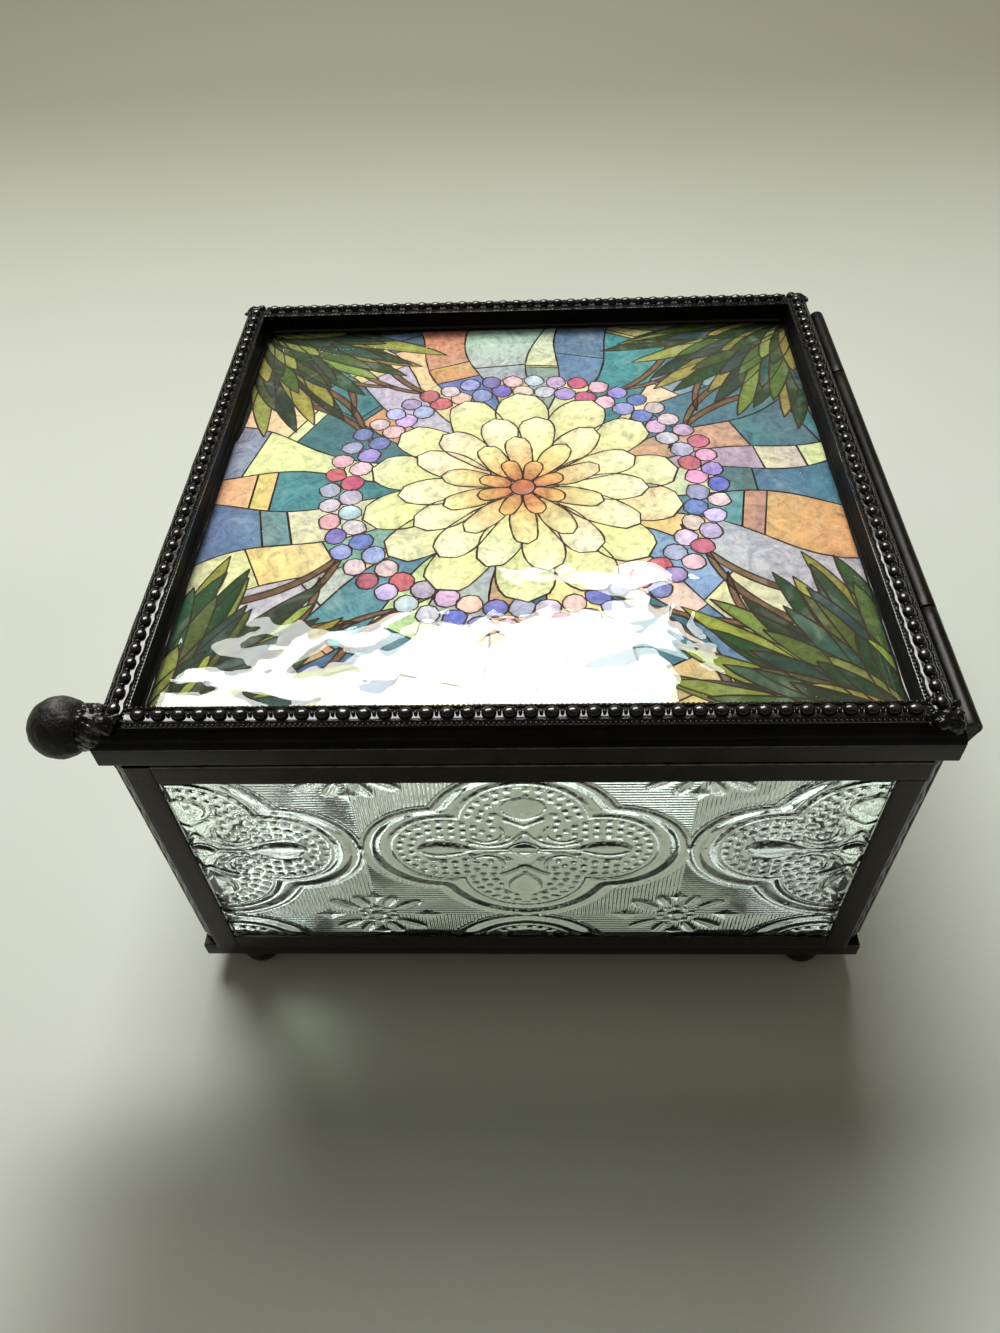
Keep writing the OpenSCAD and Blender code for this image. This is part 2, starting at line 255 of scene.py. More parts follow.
def cut_off(height=0.0, normal=(0, 0, 1), above=False):
    """In edit mode, cuts away what lies under a level, or above it, and closes the cut."""
    bpy.ops.mesh.select_all(action="SELECT")
    bpy.ops.mesh.bisect(
        plane_co=(0, 0, height), plane_no=normal, use_fill=True, clear_inner=not above,
        clear_outer=above
    )


def long_cuts(reach, cuts, axis=0):
    """In edit mode, divides the edges that run further than reach along an axis."""
    pick("EDGE", lambda edge: abs(edge.verts[0].co[axis] - edge.verts[1].co[axis]) > reach)
    bpy.ops.mesh.subdivide(number_cuts=cuts)


def faces_out():
    """In edit mode, turns every face outwards, and leaves edit mode."""
    bpy.ops.mesh.select_all(action="SELECT")
    bpy.ops.mesh.normals_make_consistent(inside=False)
    bpy.ops.object.mode_set(mode="OBJECT")


def moulding(name, section, length, pitch=3.0, mitre=0.0):
    """A bar along x with the given section in y and z, its ends cut back by mitre times y."""
    bpy.ops.mesh.primitive_circle_add(vertices=len(section), fill_type="NGON")
    bar = fresh(name)
    for vertex, (y, z) in zip(bar.data.vertices, section):
        vertex.co = (-length / 2, y, z)
    bpy.ops.object.mode_set(mode="EDIT")
    bpy.ops.mesh.select_all(action="SELECT")
    bpy.ops.mesh.extrude_region_move(TRANSFORM_OT_translate={"value": (length, 0, 0)})
    long_cuts(length / 2, max(1, round(length / pitch)))
    faces_out()
    for vertex in bar.data.vertices:
        vertex.co.x *= 1 - mitre * vertex.co.y / (length / 2)
    return bar


def mark(piece, name, amount):
    """Notes on each point of a piece how much of something is there, from 0 to 1."""
    note = piece.data.attributes.new(name, "FLOAT", "POINT")
    note.data.foreach_set("value", [amount(vertex.co) for vertex in piece.data.vertices])


def settle(piece, matrix, hollows, finish, body, slot, *nodes, angle=40):
    """Finishes a piece drawn in millimetres about the body's axis: puts it in its place, presses
    soft hollows in it (how deep, and about how wide), gives it its surface, its shading and its
    body, and hides the solids that it stands for."""
    to_frame = Matrix.Scale(MM, 4) @ Matrix.Translation((CENTRE_X, CENTRE_Y, 0))
    piece.data.transform(to_frame @ matrix)
    piece.data.update()
    if hollows:
        depth, size = hollows
        texture = bpy.data.textures.new(piece.name + "_hollows", "CLOUDS")
        texture.noise_scale = size * MM
        modify(piece, "DISPLACE", texture=texture, strength=depth * MM, mid_level=1)
    piece.data.materials.clear()
    piece.data.materials.append(finish.material)
    bpy.ops.object.select_all(action="DESELECT")
    piece.select_set(True)
    bpy.context.view_layer.objects.active = piece
    bpy.ops.object.shade_smooth_by_angle(angle=math.radians(angle))
    bpy.ops.object.select_all(action="DESELECT")
    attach(piece, body)
    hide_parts(*nodes)


def turned(degrees, axis):
    return Matrix.Rotation(math.radians(degrees), 4, axis)


def at_side(side, width, depth, height):
    """Where a side of a width by depth rectangle is: x runs along it, y inwards."""
    out = (depth if side in ("front", "back") else width) / 2
    return turned(90 * SIDES.index(side), "Z") @ Matrix.Translation((0, -out, height))


def along(side, width, depth):
    return width if side in ("front", "back") else depth


def came_bar(name, length, pane_t):
    """A length of U-shaped came along x, its closed edge at y 0 and its channel open to y."""
    half = pane_t / 2 + PANE_PLAY + CAME_WALL
    slot = pane_t / 2 + PANE_PLAY
    corners = [(0, -half), (CAME_FACE, -half), (CAME_FACE, -slot), (CAME_HEEL, -slot)]
    corners += [(y, -z) for y, z in reversed(corners)]
    radii = [HEEL_ROUND, LIP_ROUND, 0.1, 0.1, 0.1, 0.1, LIP_ROUND, HEEL_ROUND]
    bar = moulding(name, rounded(corners, radii), length)

    # Its heel and lip edges are marked paler: rubbed wear, and partly a painted highlight along the
    # edges.
    def wear(co):
        outer = (HEEL_ROUND - co.y - half + abs(co.z)) / 0.15
        inner = (LIP_ROUND - CAME_FACE + co.y - half + abs(co.z)) / 0.08
        return max(min(outer, 1), min(inner, 1) * 0.7, 0)

    mark(bar, "wear", wear)
    return bar


def blackened(name, dark, light, worn_and_highlight, roughness, metallic=0.6, grain=0.05, **constants):
    """Lead or solder blackened with patina: cloudy and finely pitted, and paler where a piece marks
    it, which is rubbed wear and, on came edges, the rim's ledge and the lift ball's top, also a
    painted highlight.
    """
    finish = Finish(name, **constants)
    clouds = finish.mottle(7, 5, 0.8)
    fine = finish.mottle(0.6, 4)
    # Paler marks: rubbed wear, and on came edges, the rim's ledge and the lift ball's lit top also
    # a painted highlight.
    rubbed_and_highlit = finish.rise(finish.attribute("wear") * 0.8 + finish.mottle(2.2, 4) * 0.9, 0.85, 1.3)
    scuffed = finish.rise(finish.mottle(1.4, 5, 2.5), 0.66, 0.8)
    body = finish.ramp(clouds * 0.65 + fine * 0.35, [(0.32, dark), (0.68, light)])
    shown = finish.blend(finish.sum("MAXIMUM", rubbed_and_highlit * 0.8, scuffed * 0.35), body, (*worn_and_highlight, 1))
    finish.set("Base Color", shown)
    finish.set("Metallic", metallic)
    finish.set("Roughness", roughness + (clouds - 0.5) * 0.25 + (fine - 0.5) * 0.15 - rubbed_and_highlit * 0.08)
    finish.relief(fine * 0.5 + finish.mottle(0.22, 2) * 0.25 + clouds * 0.4, grain)
    return finish


base_patina = blackened(
    "base_came_patina", (0.007, 0.0065, 0.0065), (0.022, 0.02, 0.02), (0.16, 0.15, 0.14), 0.38
)
base_w, base_d = BODY_W - 2 * BASE_INSET, BODY_D - 2 * BASE_INSET
base_h = MIRROR_T + 2 * (PANE_PLAY + CAME_WALL)


def came_ring(prefix, width, depth, middle, sheet_t, hollows, finish, body, slot):
    """Four lengths of came round a flat sheet, the side lengths running through."""
    for side in SIDES:
        node = f"{prefix}_{side}_came"
        bar = came_bar(node + "_bar", along(side, width - 2 * CAME_FACE, depth), sheet_t)
        settle(bar, at_side(side, width, depth, middle), (0.12, hollows), finish, body, slot, node)


came_ring(
    "base", base_w, base_d, FOOT_H + base_h / 2, MIRROR_T, 5, base_patina, "body", "base_came"
)

# ---- Ball feet ----
# Four small balls cast in lead alloy and blackened. Each is soldered by a flat on its top to
# the base came near a corner, and stands on a small flat filed on its underside.
FOOT_R = 4.3
FOOT_FLAT_R = 1.8
FOOT_INSET_X = 4.1
FOOT_INSET_Y = 10.7

foot_finish = blackened(
    "foot_casting", (0.006, 0.006, 0.006), (0.02, 0.019, 0.018), (0.1, 0.095, 0.09), 0.45,
    grain=0.09
)
LEFT_RIGHT = (("left", -1), ("right", 1))
CORNERS = [(f"{a}_{b}", x, y) for a, y in (("front", -1), ("back", 1)) for b, x in LEFT_RIGHT]
for corner, x_side, y_side in CORNERS:
    node = f"{corner}_foot"
    lift = math.sqrt(FOOT_R**2 - FOOT_FLAT_R**2)
    bpy.ops.mesh.primitive_uv_sphere_add(segments=40, ring_count=28, radius=FOOT_R)
    ball = fresh(node + "_casting")
    bpy.ops.object.mode_set(mode="EDIT")
    cut_off(-lift)
    cut_off(FOOT_H - lift, above=True)
    bpy.ops.object.mode_set(mode="OBJECT")
    foot_x, foot_y = x_side * (base_w / 2 - FOOT_INSET_X), y_side * (base_d / 2 - FOOT_INSET_Y)
    mark(ball, "wear", lambda co: 0.5 if co.z + lift < 0.6 else 0.0)
    matrix = Matrix.Translation((foot_x, foot_y, lift))
    settle(ball, matrix, (0.12, 2), foot_finish, "body", "base_came", node)

# ---- Pressed glass walls ----
# Each wall is a pane of rolled pattern glass, pale green, with the pattern pressed in its
# outer face: lobed medallions filled with dots, a flower between four of them, and fine lines.
# The mesh has the softened share of the relief, and the bump has the rest.
GLASS_T = 2.5
PANEL_H = 64.8
RELIEF_H = 0.4
SOFTENED = 0.35
DOT_GAP = 1.75
DOT_H = 0.28
MEDALLION_W = 59.7
MEDALLION_H = 49.0
MEDALLION_Z = 38.5
TILE_STEP = 0.1
GRID_STEP = 0.272
wall_t = GLASS_T + 2 * (PANE_PLAY + CAME_WALL)
wall_z = FOOT_H + base_h
inner_w, inner_d = BODY_W - 2 * wall_t, BODY_D - 2 * wall_t


def crest(distance, width):
    """A soft ridge along distance 0, width wide on each side."""
    return np.where(np.abs(distance) < width, 0.5 + 0.5 * np.cos(np.pi * distance / width), 0)


def smooth(value):
    value = np.clip(value, 0, 1)
    return value * value * (3 - 2 * value)


def from_line(x, y, points):
    """Distance of each place from a line through the given points."""
    nearest = np.full(x.shape, 99.0)
    for (ax, ay), (bx, by) in zip(points, points[1:]):
        t = ((x - ax) * (bx - ax) + (y - ay) * (by - ay)) / ((bx - ax) ** 2 + (by - ay) ** 2)
        t = np.clip(t, 0, 1)
        nearest = np.minimum(nearest, np.hypot(x - ax - t * (bx - ax), y - ay - t * (by - ay)))
    return nearest


def leaf_half(s, width, blunt, sharp):
    """Half the width of a leaf at s, which is 0 at its point and 1 at its blunt end."""
    widest = sharp / (sharp + blunt)
    fullness = widest**sharp * (1 - widest) ** blunt
    return width / 2 / fullness * s**sharp * (1 - s) ** blunt


def leaf(u, v, length, width, blunt=0.5, sharp=0.9):
    """How far inside a leaf each place is, 1 on its midrib, with u from its point."""
    half = leaf_half(np.clip(u / length, 0, 1), width, blunt, sharp)
    return np.where((u > 0) & (u < length), 1 - np.abs(v) / np.maximum(half, 1e-6), -1)


def lobed(x, y, t):
    """Distance outside the four-lobed outline: t is 0 at the border's inner edge, 1 outside."""
    side = np.hypot(np.abs(x) - 14.1 - 1.9 * t, y) - 10.3 - 3.3 * t
    top = np.hypot(x, np.abs(y) - 8.95 + 2.1 * t) - 11.45 - 6.1 * t
    return np.minimum(side, top)


def highest(*layers):
    return np.maximum.reduce(layers)


def round_to(radius, a, x=0.0, y=0.0):
    """The point at radius from (x, y), in the direction a."""
    return x + radius * math.cos(a), y + radius * math.sin(a)


def medallion_dots():
    """Middles of the dots: three rows follow the inner outline, and a few fill the scrolls."""
    dots = []
    for row in range(3):
        inset = 1.45 + 2.0 * row
        for cx, cy, radius in ((14.1, 0, 10.3), (0, 8.95, 11.45), (0, -8.95, 11.45)):
            count = round(2 * math.pi * (radius - inset) / 2.15)
            for i in range(count):
                a = 2 * math.pi * (i + 0.5 * (row % 2)) / count
                x, y = round_to(radius - inset, a, cx, cy)
                dots += [(x, y), (-x, y)]
    for sx in (-1, 1):
        for sy in (-1, 1):
            for dx, dy in ((-1.1, -0.3), (-0.2, 1.4), (1.0, -0.2), (1.6, 1.6), (-0.1, -1.5)):
                dots.append((sx * (7.0 + dx), sy * (5.7 + dy)))
    return dots


def pressed_tile():
    """One repeat of the pattern: its height, its broad swell, and where fine lines run."""
    xs = np.arange(TILE_STEP / 2, MEDALLION_W, TILE_STEP) - MEDALLION_W / 2
    ys = np.arange(TILE_STEP / 2, MEDALLION_H, TILE_STEP) - MEDALLION_H / 2
    x, y = np.meshgrid(xs, ys)
    ax, ay = np.abs(x), np.abs(y)
    inner, outer = lobed(x, y, 0), lobed(x, y, 1)
    t = inner / np.maximum(inner - outer, 1e-6)
    ground = smooth((outer - 0.75) / 0.3)
    field = smooth(-inner / 0.3)

    height = 0.1 * ground + 0.12 * field
    channel = np.where((inner > 0) & (outer < 0), 1.0, 0.0)
    height += channel * (0.22 - 0.2 * np.sin(np.pi * np.clip((t - 0.12) / 0.5, 0, 1)) ** 0.8)
    height += channel * 0.2 * np.sin(np.pi * np.clip((t - 0.62) / 0.38, 0, 1)) ** 0.6
    ridges = [0.3 * crest(inner - 0.25, 0.7), 0.22 * crest(inner + 0.8, 0.5)]
    height = highest(height, *ridges, 0.2 * crest(outer - 0.42, 0.5))

    side_leaf, base_leaf = leaf(ax - 8.7, y, 10.9, 4.9), leaf(-8.0 - y, x, 8.4, 6.4, 0.5, 0.8)
    petals = highest(side_leaf, base_leaf, leaf(y - 9.6, x, 6.9, 7.8, 0.42, 0.55))
    lens = 1 - (ax / 3.1) ** 1.5 - (ay / 2.4) ** 1.6
    bead = 1 - (x / 2.3) ** 2 - (y / 1.75) ** 2
    star = 1 - (ax / 9.6) ** 0.62 - (ay / 9.3) ** 0.62
    scroll = np.hypot(ax - 7.0, ay - 5.6) - 3.2
    turned = np.degrees(np.arctan2(ay - 5.6, ax - 7.0)) - 235
    turned = np.abs((turned + 180) % 360 - 180)
    scrolled = smooth((100 - turned) / 22)
    arch = from_line(
        ax, y, [(0, 5.5), (1.4, 3.7), (2.6, 2.5), (4.2, 1.5), (6.6, 1.1), (8.4, 1.6), (10.4, 2.6)]
    )
    lower_arch = from_line(
        ax, y, [(2.9, -0.9), (5.0, -1.1), (7.4, -1.3), (9.4, -2.4), (10.6, -3.4)]
    )
    chevron = from_line(ax, y, [(0, 7.6), (1.6, 8.6), (3.4, 9.7)])
    gable = from_line(ax, y, [(0, -5.9), (1.5, -6.9), (3.0, -8.0), (4.5, -8.8)])
    bar = np.where(ax > 2.6, np.abs(y + 0.1), 99)

    taken = highest(smooth((petals + 0.5) / 0.2), smooth(star / 0.06), (ax < 9) & (ay < 2.2))
    taken = highest(taken, scrolled * smooth((0.95 - np.abs(scroll)) / 0.2))
    dotted = np.zeros_like(x)
    placed = []
    for px, py in medallion_dots():
        column = min(int((px + MEDALLION_W / 2) / TILE_STEP), len(xs) - 1)
        row = min(int((py + MEDALLION_H / 2) / TILE_STEP), len(ys) - 1)
        crowded = any(math.hypot(px - qx, py - qy) < DOT_GAP for qx, qy in placed)
        if crowded or inner[row, column] > -1.2 or taken[row, column] > 0.3:
            continue
        placed.append((px, py))
        near = (slice(max(row - 10, 0), row + 11), slice(max(column - 10, 0), column + 11))
        away = np.hypot(x[near] - px, y[near] - py)
        dotted[near] = np.maximum(dotted[near], 0.6 * crest(away, 0.98) + 0.4 * crest(away, 0.7))
    height += DOT_H * dotted * field

    smooth_field = smooth((star + 0.02) / 0.08) * field
    height = height * (1 - smooth_field) + 0.05 * smooth_field
    moat = smooth((petals + 0.55) / 0.35) * field * (petals < 0)
    height = height * (1 - 0.8 * moat)
    body = np.clip(petals, 0, 1)
    pillow = 0.14 + 0.26 * (0.35 * body + 0.65 * np.sqrt(1 - (1 - body) ** 2))
    height = np.where(petals > 0, pillow, height)
    drawn = 0.3 * crest(arch, 0.8), 0.24 * crest(lower_arch, 0.65), 0.28 * crest(chevron, 0.85)
    height = highest(
        height, scrolled * 0.36 * crest(scroll, 0.62), *drawn, 0.3 * crest(gable, 0.85)
    )
    height = np.where(bar < 0.55, np.maximum(height, 0.3 * crest(bar, 0.5) * (ax < 9.2)), height)
    height = np.where(lens > 0, 0.06 + 0.26 * crest(lens - 0.12, 0.16), height)
    height = np.where(bead > 0, 0.06 + 0.34 * np.sqrt(np.clip(bead, 0, 1)), height)

    u, v = MEDALLION_W / 2 - ax, MEDALLION_H / 2 - ay
    flower = np.zeros_like(x)
    for middle_u, middle_v, half_u, half_v in ((9.9, 0, 4.5, 2.5), (0, 6.9, 2.6, 2.9)):
        lozenge = (
            1 - (np.abs(u - middle_u) / half_u) ** 0.72
            - (np.abs(v - middle_v) / half_v) ** 0.72
        )
        flower = np.maximum(flower, np.clip(lozenge * 1.4, 0, 1) ** 0.7)
    for a, reach, length, width in ((31, 4.1, 6.4, 2.9), (62, 3.4, 4.9, 2.7)):
        ca, sa = math.cos(math.radians(a)), math.sin(math.radians(a))
        along_petal, across = u * ca + v * sa - reach, v * ca - u * sa
        veined = np.clip(leaf(along_petal, across, length, width, 0.45, 0.6), 0, 1)
        veined = np.sqrt(1 - (1 - veined) ** 2) - 0.35 * crest(across, 0.3) * (veined > 0.3)
        flower = np.maximum(flower, veined)
    for a in range(18, 360, 36):
        cx, cy = 3.15 * math.cos(math.radians(a)), 2.7 * math.sin(math.radians(a))
        away = np.minimum(np.hypot(u - cx, v - cy), np.hypot(u + cx, v + cy)) / 0.85
        flower = np.maximum(flower, 0.9 * np.sqrt(np.clip(1 - away**2, 0, 1)))
    flower = np.maximum(flower, np.sqrt(np.clip(1 - (np.hypot(u, v * 1.15) / 1.7) ** 2, 0, 1)))
    clear = smooth(flower / 0.1)
    height = np.where(flower > 0, np.maximum(height * (1 - clear), 0.04 + 0.36 * flower), height)
    joint = highest(
        1 - (u / 4.6) ** 0.7 - (ay / 1.7) ** 0.7, 1 - (ax / 3.4) ** 0.7 - (v / 1.3) ** 0.7
    )
    height = np.maximum(height, 0.36 * np.clip(joint * 1.5, 0, 1) ** 0.7)

    lines = ground * (1 - clear) * smooth((0.1 - joint) / 0.1)
    level_lines = lines * (x * y > 0)
    upright_lines = lines * (x * y <= 0)
    for axis in (0, 1):
        height = sum(
            weight * np.roll(height, shift, axis)
            for shift, weight in ((-2, 0.07), (-1, 0.24), (0, 0.38), (1, 0.24), (2, 0.07))
        )
    swell = height
    for axis in (0, 1, 0, 1):
        swell = sum(np.roll(swell, shift, axis) for shift in range(-5, 6)) / 11
    return np.clip(height, 0, RELIEF_H), swell, level_lines, upright_lines


def sampled(tile, x, z):
    """Values of the repeating tile at places on a wall."""
    rows, columns = tile.shape
    across = (x + MEDALLION_W / 2) / TILE_STEP - 0.5
    up = (z - MEDALLION_Z + MEDALLION_H / 2) / TILE_STEP - 0.5
    i, j = np.floor(across).astype(int), np.floor(up).astype(int)
    fx, fy = across - i, up - j
    lower, upper = (
        tile[(j + dj) % rows, i % columns] * (1 - fx)
        + tile[(j + dj) % rows, (i + 1) % columns] * fx
        for dj in (0, 1)
    )
    return lower * (1 - fy) + upper * fy


def pressed_pane(name, length, tiles):
    """A pane along x and z with its pattern on the face towards -y, closed all round."""
    half_w = length / 2 - CAME_FACE - 0.02
    low_z, high_z = CAME_FACE + 0.02, PANEL_H - CAME_FACE - 0.02
    columns = round(2 * half_w / GRID_STEP) + 1
    rows = round((high_z - low_z) / GRID_STEP) + 1
    x, z = np.meshgrid(np.linspace(-half_w, half_w, columns), np.linspace(low_z, high_z, rows))
    height, swell, level, upright = (sampled(tile, x, z) for tile in tiles)
    edge = np.minimum.reduce([half_w - np.abs(x), z - low_z, high_z - z])
    height = height * smooth(edge / 0.3)
    face_y = (wall_t - GLASS_T) / 2
    front = np.stack([x, face_y - height * SOFTENED, z], -1).reshape(-1, 3)

    index = np.arange(rows * columns).reshape(rows, columns)
    loop = np.concatenate([index[0, :-1], index[:-1, -1], index[-1, :0:-1], index[:0:-1, 0]])
    rim = front[loop].copy()
    edge_w, edge_h = length / 2 - CAME_HEEL - PANE_PLAY, PANEL_H / 2 - CAME_HEEL - PANE_PLAY
    rim[:, 0] *= edge_w / half_w
    rim[:, 2] = (rim[:, 2] - PANEL_H / 2) * edge_h / ((high_z - low_z) / 2) + PANEL_H / 2
    rim[:, 1] = face_y
    back = rim.copy()
    back[:, 1] = face_y + GLASS_T
    points = np.concatenate([front, rim, back])
    start, count = len(front), len(loop)
    nxt = np.roll(np.arange(count), -1)
    quads = np.stack(
        [index[:-1, :-1], index[:-1, 1:], index[1:, 1:], index[1:, :-1]], -1
    ).reshape(-1, 4)
    around = np.arange(count)
    skirt = np.stack([loop[nxt], loop, start + around, start + nxt], -1)
    wall = np.stack([start + nxt, start + around, start + count + around, start + count + nxt], -1)
    faces = [tuple(face) for face in np.concatenate([quads, skirt, wall]).tolist()]
    faces.append(tuple((start + count + around)[::-1].tolist()))
    mesh = bpy.data.meshes.new(name)
    mesh.from_pydata(points.tolist(), [], faces)
    notes = {"level_lines": level, "upright_lines": upright, "swell": swell, "height": height}
    for label, values in notes.items():
        note = mesh.attributes.new(label, "FLOAT", "POINT")
        filled = np.zeros(len(points))
        filled[: values.size] = values.ravel()
        note.data.foreach_set("value", filled)
    pane = bpy.data.objects.new(name, mesh)
    bpy.context.collection.objects.link(pane)
    return pane


def see_through(finish, tint):
    """Lets lamplight straight through a glass, so that what is behind it is lit."""
    rays = finish.add("ShaderNodeLightPath", output="Is Shadow Ray")
    finish.mixed(rays, "ShaderNodeBsdfTransparent", tint)


pattern_glass = Finish("pattern_glass", IOR=1.5, Transmission_Weight=1.0)
x, y, z = pattern_glass.axes()
LINES_PER_MM = 1 / 0.76
level_waves = pattern_glass.sum("SINE", z * (2 * math.pi * LINES_PER_MM))
upright_waves = pattern_glass.sum("SINE", (x + y) * (2 * math.pi * LINES_PER_MM))
fine_lines = pattern_glass.attribute("level_lines") * level_waves
fine_lines = fine_lines + pattern_glass.attribute("upright_lines") * upright_waves
ripple = pattern_glass.mottle(6, 2) * 0.14 + pattern_glass.mottle(1.1, 2) * 0.03
broad, sharp = pattern_glass.attribute("swell"), pattern_glass.attribute("height")
pattern_glass.relief(broad * 1.5 + sharp * 1.0 + fine_lines * 0.1 + ripple, 1)
seeds = pattern_glass.rise(pattern_glass.mottle(1.6, 2), 0.7, 0.78)
greenish = [(0.3, (0.93, 0.975, 0.94)), (0.7, (0.955, 0.985, 0.96))]
pattern_glass.set("Base Color", pattern_glass.ramp(pattern_glass.mottle(16, 2), greenish))
pattern_glass.set("Roughness", 0.015 + seeds * 0.12)
see_through(pattern_glass, (0.9, 0.95, 0.91))
tiles = pressed_tile()
for side in SIDES:
    pane = pressed_pane(f"{side}_glass_pressed", along(side, inner_w, inner_d), tiles)
    matrix = at_side(side, BODY_W, BODY_D, wall_z)
    settle(pane, matrix, None, pattern_glass, "body", "pressed_glass", f"{side}_glass", angle=60)

# ---- Wall cames ----
# Each pane is framed by four lengths of the same U-shaped came, butted and soldered: the left
# one runs the full height, the top one over the right one, and the bottom one fits between.
# The paler colour on the edges of these cames is rubbed wear and partly a painted highlight.
wall_patina = blackened(
    "wall_came_patina", (0.014, 0.01, 0.008), (0.042, 0.033, 0.028), (0.34, 0.32, 0.29), 0.42
)
for side in SIDES:
    length = along(side, inner_w, inner_d)
    right_l = PANEL_H - CAME_FACE
    for edge, bar_l, middle, turn in (
        ("left", PANEL_H, (-length / 2, 0, PANEL_H / 2), turned(-90, "Y") @ turned(-90, "X")),
        ("right", right_l, (length / 2, 0, right_l / 2), turned(-90, "Y") @ turned(90, "X")),
        ("top", length - CAME_FACE, (CAME_FACE / 2, 0, PANEL_H), turned(-90, "X")),
        ("bottom", length - 2 * CAME_FACE, (0, 0, 0), turned(90, "X")),
    ):
        node = f"{side}_{edge}_came"
        bar = came_bar(node + "_bar", bar_l - 0.12, GLASS_T)
        to_wall = at_side(side, BODY_W, BODY_D, wall_z) @ Matrix.Translation((0, wall_t / 2, 0))
        matrix = to_wall @ (Matrix.Translation(middle) @ turn)
        settle(bar, matrix, (0.1, 6), wall_patina, "body", "came", node)

# ---- Corner seams ----
# A run of solder fills part of the notch where two framed walls meet. It is drawn down with
# the iron, so it is rounded and slightly rippled, and blackened like the came.
SEAM_R = 2.6
SEAM_CUTS = 70

solder_black = blackened(
    "corner_solder_patina", (0.012, 0.011, 0.01), (0.04, 0.036, 0.033), (0.2, 0.19, 0.18), 0.32,
    metallic=0.75, grain=0.07,
)
for corner, x_side, y_side in CORNERS:
    node = f"{corner}_seam"
    bpy.ops.mesh.primitive_cylinder_add(
        vertices=40, radius=SEAM_R, depth=PANEL_H - 0.1, location=(0, 0, PANEL_H / 2)
    )
    seam = fresh(node + "_solder")
    bpy.ops.object.mode_set(mode="EDIT")
    long_cuts(1, SEAM_CUTS, axis=2)
    cut_off(normal=(x_side, 0, 0))
    cut_off(normal=(0, y_side, 0))
    bpy.ops.object.mode_set(mode="OBJECT")
    for vertex in seam.data.vertices:
        x, y, z = vertex.co
        if math.hypot(x, y) > SEAM_R * 0.9:
            wave = 0.1 * math.sin(z * 1.15 + x_side) + 0.08 * math.sin(z * 0.43 + 2 * y_side)
            vertex.co.x *= 1 - (0.2 + wave) / SEAM_R
            vertex.co.y *= 1 - (0.2 + wave) / SEAM_R
    mark(seam, "wear", lambda co: 0.35)
    matrix = Matrix.Translation((x_side * inner_w / 2, y_side * inner_d / 2, wall_z))
    settle(seam, matrix, (0.16, 3), solder_black, "body", "corner_solder", node)

# ---- Lid glazing ----
# The lid holds a sandwich: a milk-white sheet at the bottom, a printed picture on it and a
# sheet of clear hand-rolled glass on top, its surface slightly wavy.
LID_GAP = 0.4
LID_GLASS_T = 1.8
PRINT_T = 0.25
BACKING_T = 1.25
WAVE_H = 0.36
EDGE_BAND = 0.8
lid_stack = LID_GLASS_T + PRINT_T + BACKING_T
lid_band_h = lid_stack + 2 * (PANE_PLAY + CAME_WALL)
lid_z = wall_z + PANEL_H + LID_GAP
stack_z = lid_z + (lid_band_h - lid_stack) / 2
sheet_w = BODY_W - 2 * (CAME_HEEL + PANE_PLAY)
sheet_d = BODY_D - 2 * (CAME_HEEL + PANE_PLAY)


def sheet(name, thickness, level, cuts=1):
    """A flat sheet of the lid's sandwich, level millimetres over its underside."""
    bpy.ops.mesh.primitive_cube_add(
        size=1, scale=(sheet_w, sheet_d, thickness), location=(0, 0, level + thickness / 2)
    )
    slab = fresh(name)
    bpy.ops.object.mode_set(mode="EDIT")
    pick("FACE", lambda face: face.normal.z > 0.9)
    bpy.ops.mesh.inset(thickness=EDGE_BAND)
    if cuts > 1:
        bpy.ops.mesh.subdivide(number_cuts=cuts)
    bpy.ops.object.mode_set(mode="OBJECT")
    return slab


milky = Finish("backing_sheet")
clouds = milky.mottle(22, 4)
milky.set("Base Color", milky.ramp(clouds, [(0.3, (0.84, 0.84, 0.78)), (0.7, (0.9, 0.9, 0.85))]))
milky.set("Roughness", 0.42 + milky.mottle(0.35, 4) * 0.2)
milky.relief(milky.mottle(1.5, 3), 0.03)
milky.mixed(0.95, "ShaderNodeBsdfTranslucent", (0.97, 0.975, 0.93))
board = sheet("lid_backing_sheet", BACKING_T, 0)
settle(board, Matrix.Translation((0, 0, stack_z)), None, milky, "lid", "board", "lid_backing")

clear = Finish(
    "lid_clear_glass", IOR=1.5, Roughness=0.0, Base_Color=(0.98, 0.99, 0.985, 1),
    Transmission_Weight=1.0, Specular_IOR_Level=0.21,
)
clear.relief(clear.mottle(17, 1.5, 0.6) + clear.mottle(6, 1) * 0.12, WAVE_H)
see_through(clear, (0.98, 0.99, 0.985))
glass = sheet("lid_glass_sheet", LID_GLASS_T, BACKING_T + PRINT_T, cuts=60)
matrix = Matrix.Translation((0, 0, stack_z))
settle(glass, matrix, (0.06, 14), clear, "lid", "clear_glass", "lid_glass", angle=30)

# ---- Lid picture ----
# A sheet printed like a leaded window, a general design of the maker's own: a rosette of cream
# petals in a ring of pebbles, wavy rays behind it, and fans of green blades in the corners.
WINDOW_X = BODY_W / 2 - 5.6
WINDOW_Y = BODY_D / 2 - 5.6
LEAD = (0.022, 0.012, 0.008)
chance = np.random.default_rng(17)
ink_points, ink_faces, ink_tints = [], [], []


def add_strip(rows, tints, level):
    """Lays a strip of quads: rows of points across it, with a tint for each point."""
    start, width = len(ink_points), len(rows[0])
    for row, row_tints in zip(rows, tints):
        ink_points.extend((px, py, level) for px, py in row)
        ink_tints.extend(row_tints)
    for i in range(len(rows) - 1):
        for j in range(width - 1):
            a = start + i * width + j
            ink_faces.append((a, a + 1, a + width + 1, a + width))


